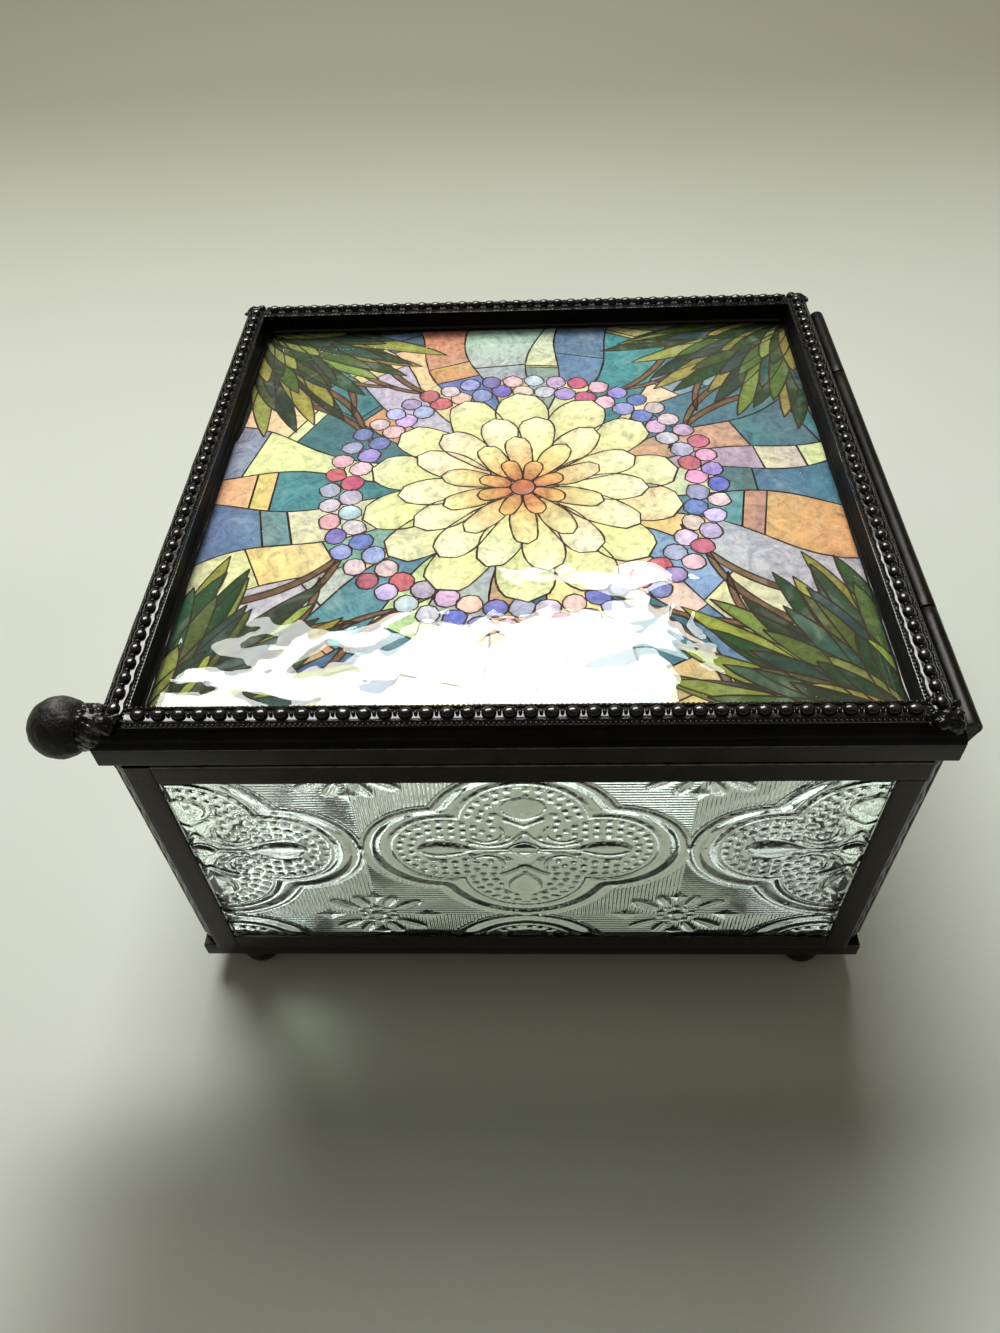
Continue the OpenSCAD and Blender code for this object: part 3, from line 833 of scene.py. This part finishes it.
def lead_line(points, level, half=0.19):
    """Lays a dark line of even width round the outline of a piece of glass."""
    points = np.array(points)
    run = np.roll(points, -1, 0) - np.roll(points, 1, 0)
    run /= np.maximum(np.linalg.norm(run, axis=1, keepdims=True), 1e-6)
    side = np.stack([-run[:, 1], run[:, 0]], 1)
    widths = half * (1 + 0.25 * chance.standard_normal(len(points)).clip(-1, 1))[:, None]
    rows = list(np.stack([points + side * widths, points - side * widths], 1))
    add_strip(rows + rows[:1], [[(*LEAD, 0)] * 2] * (len(rows) + 1), level)


def glass_piece(left, right, base, tip, level, shade=0.25, half=0.19):
    """Lays one piece of coloured glass between two edges, tinted from base to tip."""
    left, right = np.array(left), np.array(right)
    base, tip = np.array(base), np.array(tip)
    across = np.linspace(0, 1, 5)
    rows, tints = [], []
    for i in range(len(left)):
        t = i / (len(left) - 1)
        rows.append([tuple(left[i] * (1 - s) + right[i] * s) for s in across])
        tone = base * (1 - t) + tip * t
        tints.append([(*(tone * (1 - shade * abs(2 * s - 1) ** 2)), 1) for s in across])
    add_strip(rows, tints, level)
    lead_line(list(left) + list(right[::-1]), level + 0.003, half)


def blade(root, heading, length, width, bend, base, tip, level, blunt=0.7, sharp=0.8, wave=0.0):
    """A petal or leaf from root: its midline bends by bend degrees on the way to its tip."""
    steps = 12
    x, y, a = root[0], root[1], math.radians(heading)
    left, right = [], []
    for i in range(steps + 1):
        s = i / steps
        half = leaf_half(s, width, blunt, sharp) * (1 + wave * math.sin(9 * s + heading))
        nx, ny = -math.sin(a), math.cos(a)
        left.append((x + nx * half, y + ny * half))
        right.append((x - nx * half, y - ny * half))
        x, y = x + math.cos(a) * length / steps, y + math.sin(a) * length / steps
        a += math.radians(bend) / steps
    glass_piece(left, right, base, tip, level)


def vary(tint, amount=0.15):
    return np.array(tint) * (1 + amount * chance.uniform(-1, 1, 3))


def to_edge(a):
    return min(WINDOW_X / max(abs(math.cos(a)), 1e-6), WINDOW_Y / max(abs(math.sin(a)), 1e-6))


RAY_TINTS = [
    (0.1, 0.2, 0.3), (0.82, 0.74, 0.42), (0.08, 0.24, 0.3), (0.8, 0.76, 0.48), (0.3, 0.4, 0.48),
    (0.78, 0.58, 0.3), (0.16, 0.28, 0.4), (0.74, 0.72, 0.42), (0.5, 0.5, 0.56), (0.6, 0.37, 0.22),
]
rays = 30
turns = np.sort((np.arange(rays) + chance.uniform(-0.28, 0.28, rays)) * 2 * math.pi / rays)
swings = chance.uniform(0, 6, rays)


def ray_edge(i, r):
    a = turns[i % rays] + (2 * math.pi if i >= rays else 0)
    return a + 0.045 * math.sin(r * 0.13 + swings[i % rays]) * min(r / 30, 1)


for i in range(rays):
    middle = (turns[i] + turns[(i + 1) % rays] + (2 * math.pi if i == rays - 1 else 0)) / 2
    reach = to_edge(middle) * 1.03
    cuts = [14, *sorted(chance.uniform(36, reach - 6, 2 if reach < 75 else 3)), reach]
    for near, far in zip(cuts, cuts[1:]):
        tint = vary(RAY_TINTS[(i + (near > 40) * 3) % len(RAY_TINTS)]) * 0.84
        edges = [[], []]
        for r in np.linspace(near, far, 9):
            for k in (0, 1):
                a = ray_edge(i + k, r)
                stop = min(r, to_edge(a))
                edges[k].append(round_to(stop, a))
        glass_piece(edges[0], edges[1], tint, vary(tint, 0.25), 0.0, shade=0.1)

TWIG_TINTS = ((0.13, 0.065, 0.035), (0.2, 0.12, 0.07)), ((0.12, 0.06, 0.03), (0.22, 0.13, 0.08))
BLADE_TINTS = [(0.02, 0.045, 0.02), (0.06, 0.085, 0.025), (0.2, 0.22, 0.05), (0.03, 0.06, 0.05)]
for sx, sy in ((-1, -1), (-1, 1), (1, -1), (1, 1)):
    inward, hand = math.degrees(math.atan2(-sy, -sx)), sx * sy
    for k in range(3):
        back = 0.96 - 0.06 * k
        low_root = (sx * (34 + 9 * k), sy * WINDOW_Y * back)
        high_root = (sx * WINDOW_X * back, sy * (36 + 9 * k))
        lean, length = 42 - 12 * k, 40 - 4 * k
        blade(
            low_root, inward + hand * lean, length, 1.7, -hand * 70, *TWIG_TINTS[0], 0.008, 0.3, 0.1
        )
        lean, length = 40 - 12 * k, 38 - 4 * k
        blade(
            high_root, inward - hand * lean, length, 1.5, hand * 66, *TWIG_TINTS[1], 0.008, 0.3, 0.1
        )
    root = (sx * (WINDOW_X - 0.4), sy * (WINDOW_Y - 0.4))
    for ring, (count, length, width) in enumerate(((13, 40, 5.6), (10, 29, 5.0), (7, 19, 4.6))):
        for i in range(count):
            lean = (i - (count - 1) / 2) * (104 / count) + chance.uniform(-3, 3)
            base = vary(BLADE_TINTS[(i * 2 + ring) % 4], 0.25)
            tip = base * chance.uniform(1.0, 1.7)
            reach = length * chance.uniform(0.88, 1.1) * (1 + 0.12 * abs(lean) / 50)
            bend = -lean * 0.35 + chance.uniform(-12, 12)
            level = 0.014 + 0.008 * ring + 0.0004 * i
            blade(root, inward + lean, reach, width, bend, base, tip, level, 0.75, 0.6)

PEBBLE_TINTS = [
    (0.42, 0.34, 0.58), (0.7, 0.42, 0.5), (0.16, 0.18, 0.45), (0.52, 0.48, 0.66), (0.5, 0.12, 0.2),
    (0.3, 0.28, 0.56), (0.64, 0.46, 0.52),
]
for ring, (radius, count, size) in enumerate(((35.6, 46, 2.5), (40.0, 50, 2.35))):
    for i in range(count):
        a = 2 * math.pi * (i + 0.5 * ring) / count
        cx, cy = round_to(radius + chance.uniform(-0.5, 0.5), a)
        bumps = chance.uniform(0.88, 1.12, 8)
        angles = np.linspace(0, math.pi, 6)
        left, right = (
            [
                (cx + r * math.cos(b), cy + turn * r * math.sin(b))
                for b in angles
                for r in [size * (1 + (bumps[int(turn * b / math.pi * 4) % 8] - 1) * 0.8)]
            ]
            for turn in (1, -1)
        )
        tint = vary(PEBBLE_TINTS[(i * 3 + ring) % len(PEBBLE_TINTS)], 0.2)
        glass_piece(
            left, right, tint, tint * 1.2, 0.045 + 0.0002 * (i % 2) + 0.004 * ring, half=0.17
        )

for radius, length, width, count, turn, level, base, tip in (
    (11, 23, 11.5, 14, 0, 0.055, (0.6, 0.52, 0.2), (0.88, 0.83, 0.52)),
    (7, 19, 8.2, 14, 0.5, 0.061, (0.7, 0.6, 0.28), (0.9, 0.87, 0.62)),
    (4, 13.5, 5.6, 10, 0, 0.067, (0.62, 0.36, 0.12), (0.88, 0.78, 0.44)),
    (2, 7.5, 3.8, 8, 0.5, 0.073, (0.5, 0.16, 0.08), (0.8, 0.5, 0.2)),
):
    for i in range(count):
        a = 360 * (i + turn) / count
        heading, reach = a + chance.uniform(-3, 3), length * chance.uniform(0.93, 1.04)
        bend, tints = chance.uniform(-14, 14), (vary(base, 0.12), vary(tip, 0.08))
        root, height = round_to(radius, math.radians(a)), level + 0.0004 * (i % 3)
        blade(root, heading, reach, width, bend, *tints, height, 0.4, 0.6, 0.05)
BOSS_R = 2.6
upper = [round_to(BOSS_R, b) for b in np.linspace(0, math.pi, 8)]
lower = [(px, -py) for px, py in upper]
glass_piece(upper, lower, (0.4, 0.1, 0.08), (0.55, 0.2, 0.1), 0.08)

picture = sheet("lid_print_picture", PRINT_T - 0.1, 0)
paper_points = [tuple(vertex.co) for vertex in picture.data.vertices]
paper_faces = [tuple(polygon.vertices) for polygon in picture.data.polygons]
PAPER_TINT = (0.25, 0.27, 0.2, 1)
ink_z = PRINT_T - 0.095
shift = len(paper_points)
points = paper_points + [(px, py, pz + ink_z) for px, py, pz in ink_points]
faces = paper_faces + [tuple(corner + shift for corner in face) for face in ink_faces]
design = bpy.data.meshes.new("lid_print_picture")
design.from_pydata(points, [], faces)
tint_note = design.attributes.new("tint", "FLOAT_COLOR", "POINT")
tint_note.data.foreach_set("color", np.array([PAPER_TINT] * shift + ink_tints, dtype=float).ravel())
picture.data = design
bpy.context.view_layer.objects.active = picture
picture.select_set(True)
bpy.ops.object.mode_set(mode="EDIT")
pick("FACE", lambda face: face.normal.z < 0 and face.calc_center_median().z > ink_z - 0.001)
bpy.ops.mesh.flip_normals()
bpy.ops.object.mode_set(mode="OBJECT")

ink = Finish("printed_leaded_glass", Specular_IOR_Level=0.04)
tint = ink.attribute("tint", "Color")
glassy = ink.attribute("tint", "Alpha")
streaks = ink.mottle(5.5, 6, 2.6, 0.62)
grain = ink.mottle(0.8, 4, 0.6)
veil = ink.rise(ink.mottle(9, 3, 1.4), 0.5, 0.8)
tones = [(0.3, (0.26, 0.28, 0.31)), (0.5, (0.6, 0.6, 0.56)), (0.7, (0.88, 0.85, 0.74))]
tone = ink.ramp(streaks * 0.7 + grain * 0.3, tones)
streaked = ink.blend(1.0, tint, tone, "MULTIPLY")
clouded = ink.blend(veil * 0.1, streaked, (0.66, 0.64, 0.54, 1))
ink.set("Base Color", ink.blend(glassy, tint, clouded))
ink.set("Roughness", 0.6 + grain * 0.2)
see_through(ink, (0.98, 0.99, 0.97))
settle(
    picture, Matrix.Translation((0, 0, stack_z + BACKING_T)), None, ink, "lid", "print", "lid_print"
)

# ---- Lid band ----
# Four lengths of came grip the edge of the lid's sandwich. The side lengths run through, and
# the joints are soldered and blackened.
band_patina = blackened(
    "lid_band_patina", (0.014, 0.012, 0.011), (0.038, 0.034, 0.032), (0.26, 0.24, 0.22), 0.4
)
came_ring("lid", BODY_W, BODY_D, lid_z + lid_band_h / 2, lid_stack, 6, band_patina, "lid", "came")

# ---- Rim ----
# A rounded moulding of the same metal is soldered on top of the band, mitred at the corners
# and coated with solder, so that its shoulder is smooth and glossy.
RIM_W = 6.0
RIM_H = 3.7
RIM_ROUND = 4.8
rim_z = lid_z + lid_band_h

rim_gloss = blackened(
    "rim_solder_gloss", (0.003, 0.003, 0.003), (0.012, 0.011, 0.011), (0.09, 0.085, 0.08), 0.22,
    metallic=0.3, grain=0.04, Coat_Roughness=0.1, Specular_IOR_Level=0.06,
)
inner_wall = rim_gloss.attribute("inner_wall")
rim_gloss.set("Coat Weight", (1 - inner_wall) * 0.18 + rim_gloss.attribute("lip") * 0.8)
rim_gloss.set("Roughness", 0.24 + inner_wall * 0.35)
rim_section = [(RIM_W - 1, -0.46), (RIM_W + 1, -0.48), (RIM_W + 0.62, -0.4), (RIM_W + 0.3, -0.26)]
rim_section += [(RIM_W + 0.12, -0.02), (RIM_W + 0.02, 0.25), (RIM_W, 0.6)]
rim_section += [
    (RIM_W - 0.02, RIM_H - 0.25), (RIM_W - 0.3, RIM_H), (1.8, RIM_H), (1.66, RIM_H - 0.28)
]
rim_section += [(1.5, RIM_H - 0.5), (1.22, RIM_H - 0.62), (0.96, RIM_H - 0.78), (0.74, RIM_H - 1.1)]
for step in range(6):
    a = math.radians(29 * (1 - step / 5))
    rim_section.append((RIM_ROUND - RIM_ROUND * math.cos(a), RIM_ROUND * math.sin(a)))
for side in SIDES:
    node = f"lid_{side}_rim"
    rim = moulding(node + "_moulding", rim_section, along(side, BODY_W, BODY_D), 2.0, mitre=1.0)
    # A thin paler line along the shoulder's ledge is a painted highlight.
    mark(rim, "wear", lambda co: 0.3 if abs(co.z - RIM_H + 0.7) < 0.15 else 0.0)
    mark(
        rim, "inner_wall",
        lambda co: 1.0 if co.y < 0.3 or co.y > RIM_W - 0.4 and co.z > 0.1 else 0.0
    )
    mark(rim, "lip", lambda co: 1.0 if co.y > RIM_W and co.z < 0.1 else 0.0)
    settle(rim, at_side(side, BODY_W, BODY_D, rim_z), (0.25, 7), rim_gloss, "lid", "rim", node)

# ---- Beaded gallery strip ----
# A stamped strip is soldered along the rim: flat oval beads with a small pearl between each
# two, and a wavy line with fine grains on both sides. The front and back strips run through.
STRIP_W = 4.25
STRIP_T = 0.6
BEAD_PITCH = 3.34
STRIP_END = 4.0
GRAIN_PITCH = 0.835
band_section = [(0, 0), (STRIP_W, 0), (STRIP_W, 0.16), (STRIP_W - 0.7, 0.3), (STRIP_W / 2, 0.74)]
band_section += [(STRIP_W - y, z) for y, z in reversed(band_section[2:4])]
corners = [math.radians(a) for a in range(0, 360, 45)]
wave_section = [(0.24 * math.cos(a), 0.36 + 0.32 * math.sin(a)) for a in corners]
strip_z = rim_z + RIM_H
strip_inset = RIM_W - STRIP_W


def dome(segments, rings, size, location):
    """The upper half of an oval ball, flattened on top, as one stamped bead."""
    bpy.ops.mesh.primitive_uv_sphere_add(segments=segments, ring_count=rings, radius=1)
    bead = bpy.context.object
    bpy.ops.object.mode_set(mode="EDIT")
    cut_off(-0.12)
    bpy.ops.object.mode_set(mode="OBJECT")
    for vertex in bead.data.vertices:
        vertex.co.z = max(vertex.co.z, 0) ** 0.6 + min(vertex.co.z, 0)
    bead.data.transform(Matrix.Translation(location) @ Matrix.Diagonal((*size, 1)))
    return bead


def in_row(piece, count, pitch):
    """Copies a piece along x, count times in all."""
    steps = {"use_constant_offset": True, "constant_offset_displace": (pitch, 0, 0)}
    modify(piece, "ARRAY", count=count, use_relative_offset=False, **steps)


def joined(name, parts):
    """Joins parts into one piece."""
    bpy.ops.object.select_all(action="DESELECT")
    for part in parts:
        part.select_set(True)
    bpy.context.view_layer.objects.active = parts[0]
    bpy.ops.object.join()
    parts[0].name = parts[0].data.name = name
    return parts[0]


bead_metal = Finish("bead_strip_patina", Coat_Weight=1.0, Coat_Roughness=0.06)
fine = bead_metal.mottle(0.5, 4)
clouds = bead_metal.mottle(6, 4, 0.8)
rubbed_and_highlit = bead_metal.rise(bead_metal.attribute("wear") + bead_metal.mottle(1.6, 4) * 0.9, 1.0, 1.5)
blacks = [(0.3, (0.003, 0.003, 0.003)), (0.7, (0.014, 0.013, 0.012))]
black = bead_metal.ramp(clouds * 0.6 + fine * 0.4, blacks)
bead_metal.set("Base Color", bead_metal.blend(rubbed_and_highlit * 0.5, black, (0.16, 0.15, 0.14, 1)))
bead_metal.set("Metallic", 0.7)
bead_metal.set("Roughness", 0.18 + fine * 0.14)
bead_metal.relief(fine * 0.35 + bead_metal.mottle(1.3, 2), 0.13)
for side in SIDES:
    node = f"lid_{side}_bead_strip"
    length = along(side, BODY_W - 2 * STRIP_END, BODY_D - 2 * RIM_W)
    band = moulding(node + "_band", band_section, length, 2.0)
    count = int((length - 2.4) / BEAD_PITCH) + 1
    first = -(count - 1) / 2 * BEAD_PITCH
    beads = dome(18, 12, (1.27, 1.02, 1.12), (first, STRIP_W / 2, 0.5))
    in_row(beads, count, BEAD_PITCH)
    pearls = dome(8, 6, (0.4, 0.5, 0.62), (first + BEAD_PITCH / 2, STRIP_W / 2, 0.56))
    in_row(pearls, count - 1, BEAD_PITCH)
    parts = [band, beads, pearls]
    grain_count = int((length - 0.8) / GRAIN_PITCH) + 1
    grain_first = -(grain_count - 1) / 2 * GRAIN_PITCH
    for y, outward in ((0.62, -1), (STRIP_W - 0.62, 1)):
        line = moulding(node + "_line", wave_section, length - 0.02, 0.37)
        for vertex in line.data.vertices:
            turn = 2 * math.pi * (vertex.co.x - first) / BEAD_PITCH
            vertex.co.y += y + outward * 0.17 * math.cos(turn)
        grains = dome(8, 6, (0.34, 0.24, 0.34), (grain_first, y + outward * 0.36, 0.2))
        in_row(grains, grain_count, GRAIN_PITCH)
        parts += [line, grains]
    strip = joined(node + "_beads", parts)
    mark(strip, "wear", lambda co: max(0.0, (co.z - STRIP_T) / 1.2))
    matrix = at_side(side, BODY_W, BODY_D, strip_z) @ Matrix.Translation((0, strip_inset, 0))
    settle(strip, matrix, None, bead_metal, "lid", "bead_strip", node, angle=50)

# ---- Solder on the rim's corners ----
# Where the strips end, the corners of the lid are filled with rough lumps of solder, blackened
# with the rest.
MELT_GRAIN = 0.22


def lumps(name, blobs):
    """Rough solder: blobs of (x, y, z, radius) melted into one skin."""
    parts = []
    for *spot, radius in blobs:
        bpy.ops.mesh.primitive_ico_sphere_add(subdivisions=3, radius=radius, location=spot)
        parts.append(fresh(name))
    mass = joined(name, parts)
    modify(mass, "REMESH", mode="VOXEL", voxel_size=MELT_GRAIN, use_smooth_shade=True)
    modify(mass, "SMOOTH", factor=0.5, iterations=3)
    return mass


rough_solder = blackened(
    "rough_corner_solder", (0.005, 0.005, 0.005), (0.02, 0.019, 0.018), (0.2, 0.19, 0.18), 0.27,
    metallic=0.8, grain=0.2, Coat_Weight=0.5, Coat_Roughness=0.15,
)
corner_lumps = []
for x_side, y_side, reach in ((-1, -1, 4.6), (-1, 1, 4.6), (1, 1, 6.6)):
    spots = [
        (2.4, 2.6, -0.9, 1.9), (1.9, 1.9, -1.4, 1.6), (1.7, 4.4, -0.3, 1.3), (3.3, 3.4, -0.1, 1.4)
    ]
    for i in range(26 if reach < 5 else 44):
        radius = chance.uniform(0.45, 0.85)
        dx, dy = chance.uniform(radius + 0.2, reach, 2)
        spots.append((dx, dy, min(0.3, (dx + dy) * 0.35 - 1.9) + chance.uniform(-0.2, 0.3), radius))
    blobs = [
        (x_side * (BODY_W / 2 - dx), y_side * (BODY_D / 2 - dy), strip_z + dz, radius)
        for dx, dy, dz, radius in spots
    ]
    corner_lumps.append(lumps(f"lump_{x_side}_{y_side}", blobs))
solder = joined("lid_corner_solder_lumps", corner_lumps)
mark(solder, "wear", lambda co: max(0.0, (co.z - strip_z) / 2.5))
as_drawn = Matrix.Identity(4)
settle(
    solder, as_drawn, (0.4, 0.5), rough_solder, "lid", "rim_solder", "lid_corner_solder", angle=80
)

# ---- Lift ball ----
# A ball of cast lead alloy at the near corner, by which the lid is lifted. It is dull and
# mottled, and a collar of granular solder holds it to the rim.
BALL_R = 5.4
BALL_INSET = 4.0
BALL_GAP = 0.1
BALL_Z = 5.6
ball_x = BODY_W / 2 - BALL_INSET
ball_y = -(BODY_D / 2 + BALL_GAP + BALL_R)
ball_top = lid_z + BALL_Z

casting = blackened(
    "ball_casting", (0.004, 0.004, 0.004), (0.03, 0.029, 0.027), (0.17, 0.165, 0.15), 0.46,
    metallic=0.45, grain=0.5,
)
bpy.ops.mesh.primitive_ico_sphere_add(subdivisions=5, radius=BALL_R)
ball = fresh("lift_ball_casting")
# The top of the ball, most on the side towards the window, is paler: rubbed by lifting, and a
# painted highlight where the light falls.
mark(ball, "wear", lambda co: max(0.0, 0.8 * (co.z - 0.3 * co.x) / BALL_R - 0.1))
matrix = Matrix.Translation((ball_x, ball_y, ball_top))
settle(ball, matrix, (0.3, 1.6), casting, "lid", "cast_ball", "lift_ball", angle=80)

neck_blobs = []
front_y = -BODY_D / 2
for ring, (dy, radius, grain, count) in enumerate(
    ((-1.3, 4.0, 0.9, 15), (-0.3, 4.0, 0.95, 16), (0.7, 4.0, 1.0, 15), (1.6, 3.6, 1.1, 12))
):
    for i in range(count):
        a = 2 * math.pi * (i + 0.5 * (ring % 2)) / count
        x, z = round_to(radius - 0.7, a, ball_x, ball_top)
        if z > lid_z + lid_band_h + 0.6 or dy < 0:
            neck_blobs.append((x, front_y + dy, z, grain * chance.uniform(0.85, 1.1)))
neck_blobs += [(ball_x, front_y - 0.7, ball_top, 3.3), (ball_x, front_y + 1.6, ball_top + 0.4, 2.4)]
neck_blobs += [
    (BODY_W / 2 - 0.8, front_y + 0.7, lid_z + 0.5, 0.7),
    (BODY_W / 2 - RIM_W - 0.5, front_y + RIM_W + 0.6, rim_z + 0.7, 1.0),
]
for dx, dy, dz, radius in (
    (2.6, 2.4, 0.0, 1.8),
    (1.9, 1.6, -1.0, 1.4),
    (2.8, 4.0, 0.6, 1.3),
    (1.8, 3.6, 0.0, 1.4),
    (3.3, 4.9, 0.9, 0.9),
):
    neck_blobs.append((BODY_W / 2 - dx, front_y + dy, strip_z + dz, radius))
neck = lumps("lift_ball_solder_lumps", neck_blobs)
mark(neck, "wear", lambda co: 0.55)
settle(
    neck, as_drawn, (0.35, 0.45), rough_solder, "lid", "rim_solder", "lift_ball_solder", angle=80
)

# ---- Hinge ----
# Three lengths of brass tube on one rod, blackened. The two end tubes are soldered to the top
# came of the back wall and the middle one to the lid, each along its whole length.
TUBE_R = 1.79
TUBE_WALL = 0.55
HINGE_GAP = 0.3
HINGE_RISE = 3.2
END_TUBE_L = 26.5
HINGE_END = 4.0
TUBE_GAP = 0.3
hinge_y = BODY_D / 2 + HINGE_GAP + 1.8
hinge_z = lid_z + HINGE_RISE
hinge_l = BODY_W - 2 * HINGE_END
lid_tube_l = hinge_l - 2 * (END_TUBE_L + TUBE_GAP)
wall_top = wall_z + PANEL_H


def tube(name, length, middle_x):
    """A length of drawn tube along the hinge line, with its bore open at both ends."""
    bpy.ops.mesh.primitive_cylinder_add(
        vertices=40, radius=TUBE_R, depth=length, end_fill_type="NOTHING",
        location=(middle_x, hinge_y, hinge_z), rotation=(0, math.pi / 2, 0),
    )
    piece = fresh(name)
    bpy.ops.object.mode_set(mode="EDIT")
    long_cuts(length / 2, round(length / 3))
    faces_out()
    modify(piece, "SOLIDIFY", thickness=TUBE_WALL, offset=-1)
    modify(piece, "BEVEL", width=0.12, segments=2, limit_method="ANGLE")
    return piece


def knuckle(name, length, middle_x, web, body, node):
    """A tube with the metal that joins it to its came, as one piece."""
    piece = joined(name, [tube(name, length, middle_x), web])
    mark(piece, "wear", lambda co: 0.45 if co.y > hinge_y + TUBE_R * 0.6 else 0.1)
    settle(piece, as_drawn, (0.08, 2), tube_patina, body, "hinge_tube", node)


tube_patina = blackened(
    "hinge_tube_patina", (0.006, 0.0055, 0.005), (0.022, 0.02, 0.018), (0.12, 0.1, 0.08), 0.34
)
back_y = BODY_D / 2
web_foot = CAME_FACE - 0.4
for end, x_side in LEFT_RIGHT:
    node = f"hinge_{end}_knuckle"
    middle_x = x_side * (hinge_l / 2 - END_TUBE_L / 2)
    web_l = min(END_TUBE_L, 2 * (BODY_W / 2 - wall_t - abs(middle_x)))
    web_section = [
        (back_y, wall_top - web_foot), (back_y + HINGE_GAP + 0.9, wall_top - web_foot + 0.9),
        (hinge_y + TUBE_R * 0.72, hinge_z - TUBE_R * 0.62), (hinge_y - 0.2, hinge_z - TUBE_R * 0.9),
        (back_y + HINGE_GAP + 0.5, hinge_z - TUBE_R * 0.5), (back_y + HINGE_GAP, lid_z - 0.1),
        (back_y, wall_top - 0.2),
    ]
    web = moulding(node + "_web", web_section, web_l, 1.2)
    web.data.transform(Matrix.Translation((middle_x, 0, 0)))
    knuckle(node + "_tube", END_TUBE_L, middle_x, web, "body", node)

near_tube = hinge_y - TUBE_R * 0.8
fillet_section = [(back_y, hinge_z - TUBE_R / 2), (near_tube, hinge_z - TUBE_R / 2 + 0.1)]
fillet_section += [(near_tube, hinge_z + TUBE_R / 2 - 0.1), (back_y, hinge_z + TUBE_R / 2)]
fillet = moulding("lid_hinge_fillet", fillet_section, lid_tube_l, 1.2)
knuckle("lid_hinge_knuckle_tube", lid_tube_l, 0, fillet, "lid", "lid_hinge_knuckle")

rod_steel = Finish("hinge_rod_steel", Metallic=1.0)
drawn = rod_steel.mottle(1.2, 4)
steels = [(0.35, (0.02, 0.019, 0.018)), (0.7, (0.06, 0.057, 0.053))]
rod_steel.set("Base Color", rod_steel.ramp(drawn, steels))
rod_steel.set("Roughness", 0.35 + drawn * 0.2)
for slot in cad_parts["hinge_rod"].material_slots:
    slot.material = rod_steel.material

# ---- Table, light and camera ----
# The box stands on a pale table top, painted darker towards the far side and with a painted
# shadow in front of the box. A broad window on the far side lights it and shines in the near
# edge of the lid's glass, and the pale room fills the rest.
TABLE_SIZE = 5
table_top = Finish("pale_table_top")
speck = table_top.mottle(0.5, 4)
shade = table_top.mottle(140, 2)
pales = [(0.3, (0.77, 0.82, 0.73)), (0.7, (0.83, 0.87, 0.8))]
pale = table_top.ramp(speck * 0.25 + shade * 0.75, pales)
x, y, z = table_top.axes()
# The table is painted darker and warmer towards the far side: painted shade.
pale_with_far_shade = table_top.blend(table_top.rise(x, -60, -520), pale, (0.34, 0.34, 0.25, 1))
# A long soft shadow in front of the box is painted into the table's colour.
painted_front_shadow = table_top.rise(x, 84, 118) * table_top.rise(table_top.sum("ABSOLUTE", y + 8), 112, 50)
table_top.set("Base Color", table_top.blend(painted_front_shadow * 0.8, pale_with_far_shade, (0.17, 0.165, 0.12, 1)))
table_top.set("Roughness", 0.6 + speck * 0.15)
table_top.relief(speck, 0.02)
bpy.ops.mesh.primitive_plane_add(size=TABLE_SIZE)
table = bpy.context.object
table.name = "table_top"
table.data.materials.append(table_top.material)

world = bpy.data.worlds.new("pale_room")
bpy.context.scene.world = world
world.use_nodes = True
air = Nodes(world.node_tree)
# Only what has crossed both faces of two panes sees the bright room: through one sheet of
# glass, as through the lid, the room is as plain as it is for the rest.
TWO_PANES = 3.5
looking = air.add("ShaderNodeTexCoord", output="Generated")
along_x = air.add("ShaderNodeSeparateXYZ", {}, {0: looking})
seen_directly = air.add("ShaderNodeLightPath", output="Is Camera Ray")
faces_passed = air.add("ShaderNodeLightPath", output="Transmission Depth")
plain = air.spread(seen_directly, 0.0, 1.0, 0.12, 0.62)
through = air.spread(along_x, 0.1, -0.5, 1.0, 2.1)
level = air.sum("MULTIPLY_ADD", air.sum("GREATER_THAN", faces_passed, TWO_PANES), through, plain)
background = world.node_tree.nodes["Background"]
warm_to_cool = air.ramp(level, [(0.12, (1.0, 0.88, 0.68)), (0.6, (0.95, 1.0, 0.95))])
air.put(background.inputs["Color"], warm_to_cool)
air.put(background.inputs["Strength"], level)

WINDOW_AZIMUTH = math.radians(-14)
WINDOW_ELEVATION = math.radians(56.5)
WINDOW_AWAY = 1.2
WINDOW_SIZE = (0.82, 0.46)
RADIANCE = 11.2
flat = math.cos(WINDOW_ELEVATION)
way_x, way_y = -flat * math.cos(WINDOW_AZIMUTH), flat * math.sin(WINDOW_AZIMUTH)
way = Vector((way_x, way_y, math.sin(WINDOW_ELEVATION)))
light = bpy.data.lights.new("window", "AREA")
light.shape = "RECTANGLE"
light.size, light.size_y = WINDOW_SIZE
light.energy = RADIANCE * math.pi * WINDOW_SIZE[0] * WINDOW_SIZE[1]
light.color = (1.0, 1.0, 0.97)
window = bpy.data.objects.new("window", light)
bpy.context.collection.objects.link(window)
facing_box = (-way).to_track_quat("-Z", "Y").to_matrix().to_4x4()
window_place = Vector((0.05, -0.01, 0.08)) + way * WINDOW_AWAY
window.matrix_world = Matrix.Translation(window_place) @ facing_box

lens = bpy.data.cameras.new("camera")
lens.lens = 26.85
lens.sensor_width = 36
lens.clip_start = 0.01
camera = bpy.data.objects.new("camera", lens)
bpy.context.collection.objects.link(camera)
CAMERA_PLACE = (0.16435, 0.0067, 0.2062)
CAMERA_ROLL = math.radians(-3.14)
look = Vector((-0.6681, -0.0403, -0.7429))
turn = look.to_track_quat("-Z", "Y") @ Quaternion((0, 0, 1), CAMERA_ROLL)
camera.matrix_world = Matrix.Translation(CAMERA_PLACE) @ turn.to_matrix().to_4x4()
bpy.context.scene.camera = camera
bpy.context.scene.view_settings.view_transform = "Standard"
